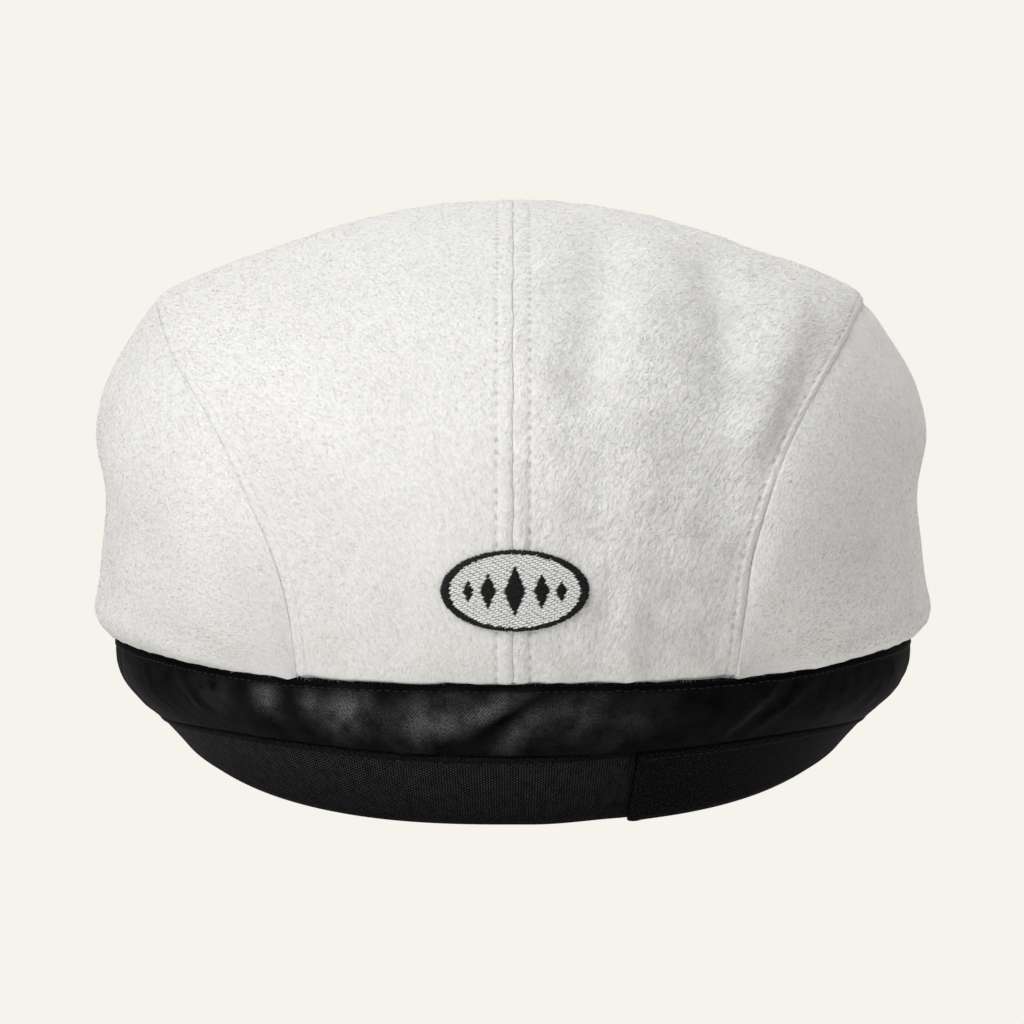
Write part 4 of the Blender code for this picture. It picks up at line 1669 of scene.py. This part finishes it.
@dataclass
class Shading:
    """A material's node tree with short ways to fill it."""

    name: str

    def __post_init__(self) -> None:
        """Makes the material with its shader."""
        self.material = bpy.data.materials.new(self.name)
        self.material.use_nodes = True
        self.tree = self.material.node_tree
        self.shader = self.tree.nodes["Principled BSDF"]

    def fill(self, socket: Socket, value: object) -> None:
        """Links a socket to the value, or gives it the value as its number or colour."""
        if isinstance(value, Socket):
            self.tree.links.new(value, socket)
        else:
            socket.default_value = (*value, 1) if socket.type == "RGBA" else value

    def node(self, kind: str, **values: object) -> bpy.types.Node:
        """Adds a node and sets its sockets by name, or its settings.

        Args:
            kind: The node's type name without the leading ShaderNode.
            values: Settings, sockets with underscores for spaces, or links.

        Returns:
            The node.
        """
        made = self.tree.nodes.new(f"ShaderNode{kind}")
        for key, value in values.items():
            socket = made.inputs.get(key.replace("_", " "))
            if socket is None:
                setattr(made, key, value)
            else:
                self.fill(socket, value)
        return made

    def mapped(self, source: str, turn: float = 0.0, scale: Color = PLAIN) -> Socket:
        """Coordinates turned and scaled: source is UV or Object."""
        plain = self.node("TexCoord").outputs[source]
        turned = self.node("Mapping", Vector=plain, Rotation=(0, 0, math.radians(-turn))).outputs[0]
        return self.node("Mapping", Vector=turned, Scale=scale).outputs[0]

    def noise(self, vector: Socket, scale: float, detail: float) -> Socket:
        """A noise texture's value."""
        return self.node("TexNoise", Vector=vector, Scale=scale, Detail=detail).outputs[0]

    def wave(self, turn: float, period: float, upright: bool, distortion: float) -> Socket:
        """Even lines over the cloth's map.

        Args:
            turn: How far the lines are turned, in degrees.
            period: The distance from line to line.
            upright: True for lines that run up, False for lines that run along.
            distortion: How uneven they are.

        Returns:
            The lines' value, from 0 to 1.
        """
        scale = math.pi / 10 / period
        lines = self.node("TexWave", Vector=self.mapped("UV", turn), Scale=scale, Detail_Scale=scale * 0.2)
        self.fill(lines.inputs["Distortion"], distortion)
        lines.bands_direction = "X" if upright else "Y"
        return lines.outputs[1]

    def ramp(self, value: Socket, low: float, high: float) -> Socket:
        """The value spread so that low gives 0 and high gives 1."""
        made = self.node("MapRange")
        for socket, given in zip(made.inputs, (value, low, high)):
            self.fill(socket, given)
        return made.outputs[0]

    def layer(self, name: str) -> Socket:
        """The values that the mesh carries under this name."""
        return self.node("Attribute", attribute_name=name).outputs["Fac"]

    def joined(self, operation: str, first: Socket, second: Socket) -> Socket:
        """Two values put through one math operation."""
        made = self.node("Math", operation=operation)
        self.fill(made.inputs[0], first)
        self.fill(made.inputs[1], second)
        return made.outputs[0]

    def product(self, first: Socket, *others: Socket) -> Socket:
        """Values multiplied."""
        for other in others:
            first = self.joined("MULTIPLY", first, other)
        return first

    def blend(self, factor: Socket | float, first: object, second: object, kind: str = "MIX") -> Socket:
        """Two colours, or what nodes give, blended in one of Blender's ways."""
        made = self.node("Mix", data_type="RGBA", blend_type=kind)
        for number, value in ((0, factor), (6, first), (7, second)):
            self.fill(made.inputs[number], value)
        return made.outputs[2]

    def tinted(self, first: Socket, *others: Socket) -> Socket:
        """Colours multiplied."""
        for other in others:
            first = self.blend(1.0, first, other, "MULTIPLY")
        return first

    def bump(self, height: Socket, distance: float, strength: float, below: Socket | None = None) -> Socket:
        """A bumped normal, on top of another one where given."""
        made = self.node("Bump", Height=height, Distance=distance, Strength=strength)
        if below is not None:
            self.fill(made.inputs["Normal"], below)
        return made.outputs[0]

    def finish(self, color: Socket, roughness: float, normal: Socket | None, **plain: float) -> Material:
        """Fills the shader's sockets and gives back the material.

        Args:
            color: The colour's socket.
            roughness: The roughness.
            normal: The bumped normal, or None.
            plain: Further shader sockets with constant numbers.

        Returns:
            The finished material.
        """
        values = {"Base Color": color, "Roughness": roughness, "Normal": normal, **plain}
        for key, value in values.items():
            if value is not None:
                self.fill(self.shader.inputs[key.replace("_", " ")], value)
        return self.material


@dataclass(frozen=True)
class FleeceFinish:
    """Off-white brushed fleece: fine grain, soft grey patches and painted shade in the needle holes on its
    rows.
    """

    nap_turn: float = 60.0
    light: Color = (0.872, 0.871, 0.860)
    gap: Color = (0.725, 0.719, 0.702)
    # The colour of the painted shade in the needle holes.
    hole_shade: Color = (0.57, 0.55, 0.53)
    nap_stretch: Color = (0.80, 1.0, 1.0)
    grain: float = 1250.0
    clump: float = 540.0
    patch: float = 34.0
    tuft: float = 0.42
    clump_level: float = 0.93
    rough_below: float = 0.045
    smooth_above: float = 0.135
    mottle: float = 0.075

    @staticmethod
    def greyed(dull: float) -> Color:
        """A faintly warm grey to multiply the fleece's colour by."""
        return dull, dull * 0.998, dull * 0.992

    def holes(self, shading: Shading, plain: Socket) -> Socket:
        """Painted shade in the needle holes along the stitched rows, as a tint."""
        needle = shading.ramp(shading.wave(0.0, STITCH_PITCH, False, 0.0), 0.30, 0.85)
        uneven = shading.ramp(shading.noise(plain, 520.0, 2.0), 0.30, 0.62)
        return shading.blend(shading.product(shading.layer(ROW_LAYER), needle, uneven), PLAIN, self.hole_shade)

    def make(self, name: str) -> Material:
        """Builds the material under this name."""
        shading = Shading(name)
        brushed = shading.mapped("UV", self.nap_turn, self.nap_stretch)
        plain = shading.mapped("UV")
        grain = shading.noise(brushed, self.grain, 3.0)
        clumps = shading.noise(brushed, self.clump, 4.0)
        patches = shading.noise(plain, self.patch, 8.0)
        from_rim = shading.node("SeparateXYZ", Vector=plain).outputs[1]
        rougher = shading.ramp(from_rim, self.smooth_above, self.rough_below)
        low = shading.ramp(rougher, -0.45, 1.0)
        clump_grey = self.greyed(self.clump_level - self.mottle / 2)
        in_patch = shading.product(shading.ramp(patches, 0.42, 0.70), low)
        color = shading.tinted(
            shading.blend(shading.ramp(grain, 0.30, 0.72), self.light, self.gap),
            shading.blend(shading.ramp(clumps, 0.42, 0.75), PLAIN, clump_grey),
            shading.blend(in_patch, PLAIN, self.greyed(1 - self.mottle)),
            self.holes(shading, plain),
        )
        lumps = shading.bump(shading.product(patches, low), 0.0012, self.mottle * 4)
        tufted = shading.product(clumps, shading.ramp(rougher, -0.8, 1.0))
        tufts = shading.bump(tufted, 0.0008, self.tuft, lumps)
        normal = shading.bump(grain, 0.00040, 0.55, tufts)
        return shading.finish(color, 0.95, normal, Sheen_Weight=0.12, Specular_IOR_Level=0.15)


@dataclass(frozen=True)
class FibreFinish:
    """The loose fibres of the fleece."""

    light: Color = (0.880, 0.876, 0.860)
    dark: Color = (0.770, 0.763, 0.745)

    def make(self, name: str) -> Material:
        """Builds the material under this name."""
        shading = Shading(name)
        spots = shading.noise(shading.mapped("Object"), 900.0, 2.0)
        mixed = shading.blend(shading.ramp(spots, 0.38, 0.72), self.light, self.dark)
        return shading.finish(mixed, 0.9, None, Specular_IOR_Level=0.15, Sheen_Weight=0.1)


@dataclass(frozen=True)
class SatinFinish:
    """Black satin with a fine diagonal twill, and painted sheen in soft patches."""

    dark: Color = (0.0015, 0.0015, 0.0018)
    # The colour of the painted sheen.
    lit: Color = (0.1450, 0.1430, 0.1520)
    twill: float = 0.00055
    slant: float = 48.0

    def make(self, name: str) -> Material:
        """Builds the material under this name."""
        shading = Shading(name)
        plain = shading.mapped("UV")
        sheen_and_bump_blotches = shading.noise(plain, 180.0, 5.0)
        grain = shading.noise(plain, 1900.0, 3.0)
        lines = shading.wave(self.slant, self.twill, False, 0.6)
        # Painted sheen: the band's layer broken into soft clouds and twill lines, blended from the dark
        # colour towards the lit one.
        painted_sheen_clouds = shading.product(shading.layer(PAINTED_SHEEN_LAYER), shading.ramp(sheen_and_bump_blotches, 0.24, 0.62))
        twilled = shading.product(shading.ramp(lines, -0.6, 1.0), shading.ramp(grain, 0.18, 0.60))
        lit = shading.product(painted_sheen_clouds, shading.ramp(twilled, 0.0, 0.9))
        normal = shading.bump(sheen_and_bump_blotches, 0.0012, 0.35, shading.bump(lines, 0.00015, 0.2))
        return shading.finish(shading.blend(lit, self.dark, self.lit), 0.62, normal, Specular_IOR_Level=0.012)


@dataclass(frozen=True)
class RibbonFinish:
    """Matt black grosgrain with upright ribs of small floats, plainer on its hem, and plainer and darker near
    its lap, where the darkening is painted shade.
    """

    dark: Color = (0.0015, 0.0015, 0.0018)
    light: Color = (0.0640, 0.0640, 0.0710)
    ribs: float = 0.00066
    picks: float = 0.00057
    slant: float = 25.5
    plain_and_shaded_until: float = 0.01
    open_and_lit_from: float = 0.30
    hem_from: float = 0.0156
    hem_blur: float = 0.0008
    # The floats fade out towards the foot: painted shade.
    dark_below: float = -0.006
    lit_above: float = 0.013

    def make(self, name: str) -> Material:
        """Builds the material under this name."""
        shading = Shading(name)
        plain = shading.mapped("UV")
        picks = shading.wave(self.slant, self.picks, False, 0.5)
        ribs = shading.wave(0.0, self.ribs, True, 0.3)
        fuzz = shading.ramp(shading.noise(plain, 1700.0, 3.0), 0.44, 1.90)
        place = shading.node("SeparateXYZ", Vector=plain).outputs
        # From the lap's start round the right side the floats are dimmed: partly a plainer weave, partly
        # painted shade.
        open_and_lit_part = shading.ramp(place[0], self.plain_and_shaded_until, self.open_and_lit_from)
        woven = shading.ramp(place[1], self.hem_from + self.hem_blur, self.hem_from)
        lit = shading.product(
            shading.ramp(shading.product(picks, shading.ramp(ribs, -0.35, 1.0)), 0.22, 0.95),
            shading.ramp(shading.noise(plain, 420.0, 5.0), 0.10, 0.64),
            shading.ramp(open_and_lit_part, -0.12, 1.0),
            shading.ramp(woven, -0.5, 1.0),
            shading.ramp(place[1], self.dark_below, self.lit_above),
        )
        color = shading.blend(shading.joined("MAXIMUM", lit, fuzz), self.dark, self.light)
        normal = shading.bump(ribs, 0.00015, 0.4, shading.bump(picks, 0.00012, 0.4))
        return shading.finish(color, 0.70, normal, Specular_IOR_Level=0.02)


@dataclass(frozen=True)
class ThreadFinish:
    """Sewing or embroidery thread with a fine twist."""

    light: Color
    dark: Color
    roughness: float = 0.5
    specular: float = 0.30

    def make(self, name: str) -> Material:
        """Builds the material under this name."""
        shading = Shading(name)
        twist = shading.noise(shading.mapped("Object"), 2600.0, 2.0)
        color = shading.blend(shading.ramp(twist, 0.35, 0.7), self.light, self.dark)
        normal = shading.bump(twist, 0.00008, 0.4)
        return shading.finish(color, self.roughness, normal, Specular_IOR_Level=self.specular)


@dataclass
class Stitching:
    """The topstitch rows of the crown and of the two bands."""

    badge: Badge
    first: float = 0.0019
    length: float = 0.0021
    end_left: float = 0.004
    thread: float = 0.00040
    height: float = 0.00022
    sunk: float = 0.00008
    band_first: float = 0.003
    band_pitch: float = 0.0021
    band_length: float = 0.0016
    band_thread: float = 0.00028
    band_height: float = 0.00014

    def panel_rows(self, panel: TopPanel) -> Strands:
        """The rows beside the centre seam and beside the side seam of one top panel."""
        strands = Strands()
        crown = panel.crown
        starts = np.arange(self.first, panel.length - self.end_left, STITCH_PITCH)
        for by_seam in (False, True):
            ends = []
            for distance in (starts, starts + self.length):
                station = np.interp(distance, panel.centre_lengths, panel.stations)
                if by_seam:
                    across = 1 - panel.seam_row / panel.from_seam(station, np.zeros_like(station))
                else:
                    across = panel.centre_row / np.abs(crown.section(panel.sign, station)[1][..., 0])
                place = panel.place(across, station / crown.last, np.zeros_like(across))
                ends.append((place, crown.normals(crown.top, panel.sign, station, across)))
            (start, normal), (end, _) = ends
            shown = ~self.badge.covers(start, 0.0)
            sunk = normal[shown] * self.sunk
            strands.threads(start[shown] - sunk, end[shown] - sunk, normal[shown], self.thread, self.height)
        return strands

    def band_row(self, band: Band, down: float, wavy: float) -> Strands:
        """One row of small stitches round a band.

        Args:
            band: The band.
            down: How far below its upper edge the row runs.
            wavy: How far the stitches stray up and down.

        Returns:
            The strands.
        """
        rng = np.random.default_rng(17)
        strands = Strands()
        starts = np.arange(self.band_first, band.run[-1] - self.end_left, self.band_pitch)
        share = down / band.tall + rng.normal(0, wavy / band.tall, len(starts))
        ends = []
        for distance in (starts, starts + self.band_length):
            along = distance / band.run[-1]
            place = band.place(share, along, np.zeros_like(along))
            ends.append((place, -BandForm.inward(band.face, band.angle_at(along), share)))
        (start, normal), (end, _) = ends
        strands.threads(start, end, normal, self.band_thread, self.band_height)
        return strands


@dataclass
class RimHairs:
    """Loose white fibres that hang from the crown's rim over the satin."""

    crown: CrownForm
    count: int = 1400
    last_angle: float = 128.0
    short: float = 0.0004
    long: float = 0.0008
    thin: float = 0.00005
    thick: float = 0.00009
    least_inset: float = 0.0002
    most_inset: float = 0.0014
    root_height: float = 0.0012
    sway: float = 0.45
    lean: float = 0.15
    stray_lean: float = 0.25

    def build(self) -> Thing:
        """Makes the hairs as one mesh."""
        rng = np.random.default_rng(71)
        strands = Strands()
        half = self.count // 2
        upwards = np.array(UPWARDS)
        for side in (-1, 1):
            angle = rng.uniform(0, self.last_angle, half)
            point = self.crown.hem_point(side, angle)
            around = unit((self.crown.hem_point(side, angle + 1) - point) * (1, 1, 0))
            out = unit(np.cross(around, upwards) * side)
            out = np.where((out * point).sum(-1, keepdims=True) < 0, -out, out)
            inset = rng.uniform(self.least_inset, self.most_inset, half)[:, None]
            root = point - out * inset + upwards * (self.root_height - inset * 0.8)
            sway = rng.normal(0, self.sway, half)[:, None]
            lean = rng.normal(self.lean, self.stray_lean, half)[:, None]
            way = unit(around * sway + out * lean - upwards)
            length = rng.uniform(self.short, self.long, half)[:, None] * rng.uniform(0.5, 1, half)[:, None]
            strands.spikes(root, root + way * length, out, rng.uniform(self.thin, self.thick, half))
        return strands.build("rim_hairs")


class Lamp(NamedTuple):
    """A round soft light: its power, size, distance, and its place as turn and rise in degrees."""

    name: str
    power: float
    size: float
    away: float
    turn: float
    rise: float


@dataclass(frozen=True)
class Studio:
    """The plain floor, the soft light and the camera."""

    backdrop: Color = (0.922, 0.896, 0.838)
    sky_glow: Color = (0.420, 0.414, 0.401)
    floor_glow: Color = (0.810, 0.799, 0.772)
    floor_level: float = -0.26
    floor_radius: float = 7.0
    lamps: tuple[Lamp, ...] = (
        Lamp("key", 24.8, 1.3, 2.0, -38.0, 36.0),
        Lamp("top", 4.5, 1.2, 1.6, 0.0, 86.0),
        Lamp("front", 16.0, 1.6, 2.4, 160.0, 30.0),
    )
    distance: float = 1.100
    rise: float = 5.0
    aim_z: float = 0.0542
    aim_x: float = -0.00025
    lens: float = 153.9

    def glow(self, tree: bpy.types.NodeTree, kind: str, unseen: Color) -> Socket:
        """A plain pale glow that the camera sees, and a softer one that lights the cap.

        Args:
            tree: The node tree of the world or of the floor.
            kind: ShaderNodeBackground or ShaderNodeEmission.
            unseen: The softer glow.

        Returns:
            The mixed shader's socket.
        """
        path = tree.nodes.new("ShaderNodeLightPath")
        mix = tree.nodes.new("ShaderNodeMixShader")
        tree.links.new(path.outputs["Is Camera Ray"], mix.inputs[0])
        for socket, color in ((mix.inputs[1], unseen), (mix.inputs[2], self.backdrop)):
            lit = tree.nodes.new(kind)
            lit.inputs[0].default_value = (*color, 1)
            tree.links.new(lit.outputs[0], socket)
        return mix.outputs[0]

    def build_floor(self) -> None:
        """Makes the floor and the world round it."""
        clear_selection()
        bpy.ops.mesh.primitive_circle_add(vertices=96, radius=self.floor_radius, fill_type="NGON")
        floor = active_mesh()
        floor.name = "floor"
        floor.location.z = self.floor_level
        finish = bpy.data.materials.new("pale_floor")
        finish.use_nodes = True
        tree = finish.node_tree
        tree.nodes.remove(tree.nodes["Principled BSDF"])
        glow = self.glow(tree, "ShaderNodeEmission", self.floor_glow)
        tree.links.new(glow, tree.nodes["Material Output"].inputs[0])
        floor.data.materials.append(finish)
        world = bpy.data.worlds.new("studio")
        world.use_nodes = True
        bpy.context.scene.world = world
        tree = world.node_tree
        tree.nodes.remove(tree.nodes["Background"])
        glow = self.glow(tree, "ShaderNodeBackground", self.sky_glow)
        tree.links.new(glow, tree.nodes["World Output"].inputs[0])

    def build_lights(self) -> None:
        """Makes the soft lights: behind the camera at the left, overhead and in front of the cap."""
        for lamp in self.lamps:
            turn, rise = math.radians(lamp.turn), math.radians(lamp.rise)
            level = math.cos(rise)
            way = np.array((math.sin(turn) * level, -math.cos(turn) * level, math.sin(rise)))
            data = bpy.data.lights.new(lamp.name, "AREA")
            data.shape = "DISK"
            data.size = lamp.size
            data.energy = lamp.power
            light = bpy.data.objects.new(lamp.name, data)
            light.location = way * lamp.away + np.array((0, 0, self.aim_z))
            light.rotation_euler = (math.pi / 2 - rise, 0, turn)
            bpy.context.scene.collection.objects.link(light)

    def build_camera(self) -> None:
        """Makes the camera at the photograph's viewing angle."""
        data = bpy.data.cameras.new("camera")
        data.lens = self.lens
        data.sensor_width = 36
        camera = bpy.data.objects.new("camera", data)
        rise = math.radians(self.rise)
        lifted = self.aim_z + self.distance * math.sin(rise)
        camera.location = (self.aim_x, -self.distance * math.cos(rise), lifted)
        camera.rotation_euler = (math.pi / 2 - rise, 0, 0)
        bpy.context.scene.collection.objects.link(camera)
        bpy.context.scene.camera = camera

    def build(self) -> None:
        """Makes the whole studio."""
        bpy.context.scene.view_settings.view_transform = "Standard"
        self.build_floor()
        self.build_lights()
        self.build_camera()


def main() -> None:
    """Builds every piece in order."""
    logging.basicConfig(level=logging.INFO, format="%(relativeCreated)d ms %(message)s")
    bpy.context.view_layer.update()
    crown = CrownForm()
    bands = BandForm(crown)
    badge = Badge(crown)
    stitching = Stitching(badge)
    Studio().build()
    white_thread = ThreadFinish((0.80, 0.795, 0.78), (0.66, 0.652, 0.635), 0.8).make("white_thread")
    black = ThreadFinish((0.0300, 0.0300, 0.0320), (0.0060, 0.0060, 0.0070), 0.6, 0.06)
    black_thread = black.make("black_thread")
    pale_thread = ThreadFinish((0.86, 0.858, 0.845), (0.70, 0.697, 0.685), 0.6).make("pale_thread")
    grey_ground = ThreadFinish((0.36, 0.357, 0.345), (0.22, 0.218, 0.21), 0.8).make("grey_ground")
    fibre = FibreFinish().make("fleece_fibre")
    for look in SIDE_LOOKS:
        side = look.side
        top = TopPanel(
            side,
            crown,
            lump=look.lump,
            seam_row_depth=look.seam_row_depth,
            ridge_height=look.ridge_height,
            edge_drop=look.edge_drop,
            shoulder_height=look.shoulder_height,
        )
        fleece = FleeceFinish(nap_turn=look.top_turn, tuft=look.tuft, patch=look.patch, mottle=look.mottle)
        panel = top.build()
        place_on(panel, fleece.make(panel.name), "white_fleece", f"top_panel_{side.word}")
        beside = SidePanel(side, crown, tuck_depth=look.tuck_depth)
        fleece = FleeceFinish(nap_turn=look.side_turn)
        panel = beside.build()
        place_on(panel, fleece.make(panel.name), "white_fleece", f"side_panel_{side.word}")
        rows = stitching.panel_rows(top).build(f"stitches_{side.word}")
        place_on(rows, white_thread, "white_fleece")
        for grown, fibres, seed in ((top, 30000, 101), (beside, 17000, 102)):
            nap = Nap(grown, badge, fibres, seed + side.value * 10).build()
            place_on(nap, fibre, "white_fleece")
    place_on(RimHairs(crown).build(), fibre, "white_fleece")
    satin = SatinBand(bands)
    band = satin.build()
    place_on(band, SatinFinish().make("black_satin"), "black_satin", "satin_band")
    row = stitching.band_row(satin, 0.00135, 0.00008).build("satin_stitches")
    place_on(row, black_thread, "black_satin")
    sweat = Sweatband(bands)
    ribbon = sweat.build()
    place_on(ribbon, RibbonFinish().make("black_ribbon"), "black_ribbon", "sweatband")
    row = stitching.band_row(sweat, 0.0019, 0.00006).build("ribbon_stitches")
    place_on(row, black_thread, "black_ribbon")
    peak = Peak(crown).build()
    place_on(peak, FleeceFinish(nap_turn=90.0).make("fleece_peak"), "white_fleece", "peak")
    place_on(badge.build_cloth(), grey_ground, "badge_thread", "badge")
    place_on(badge.fill_threads().build("badge_fill"), pale_thread, "badge_thread")
    place_on(badge.black_threads().build("badge_border"), black_thread, "badge_thread")


if __name__ == "__main__":
    main()
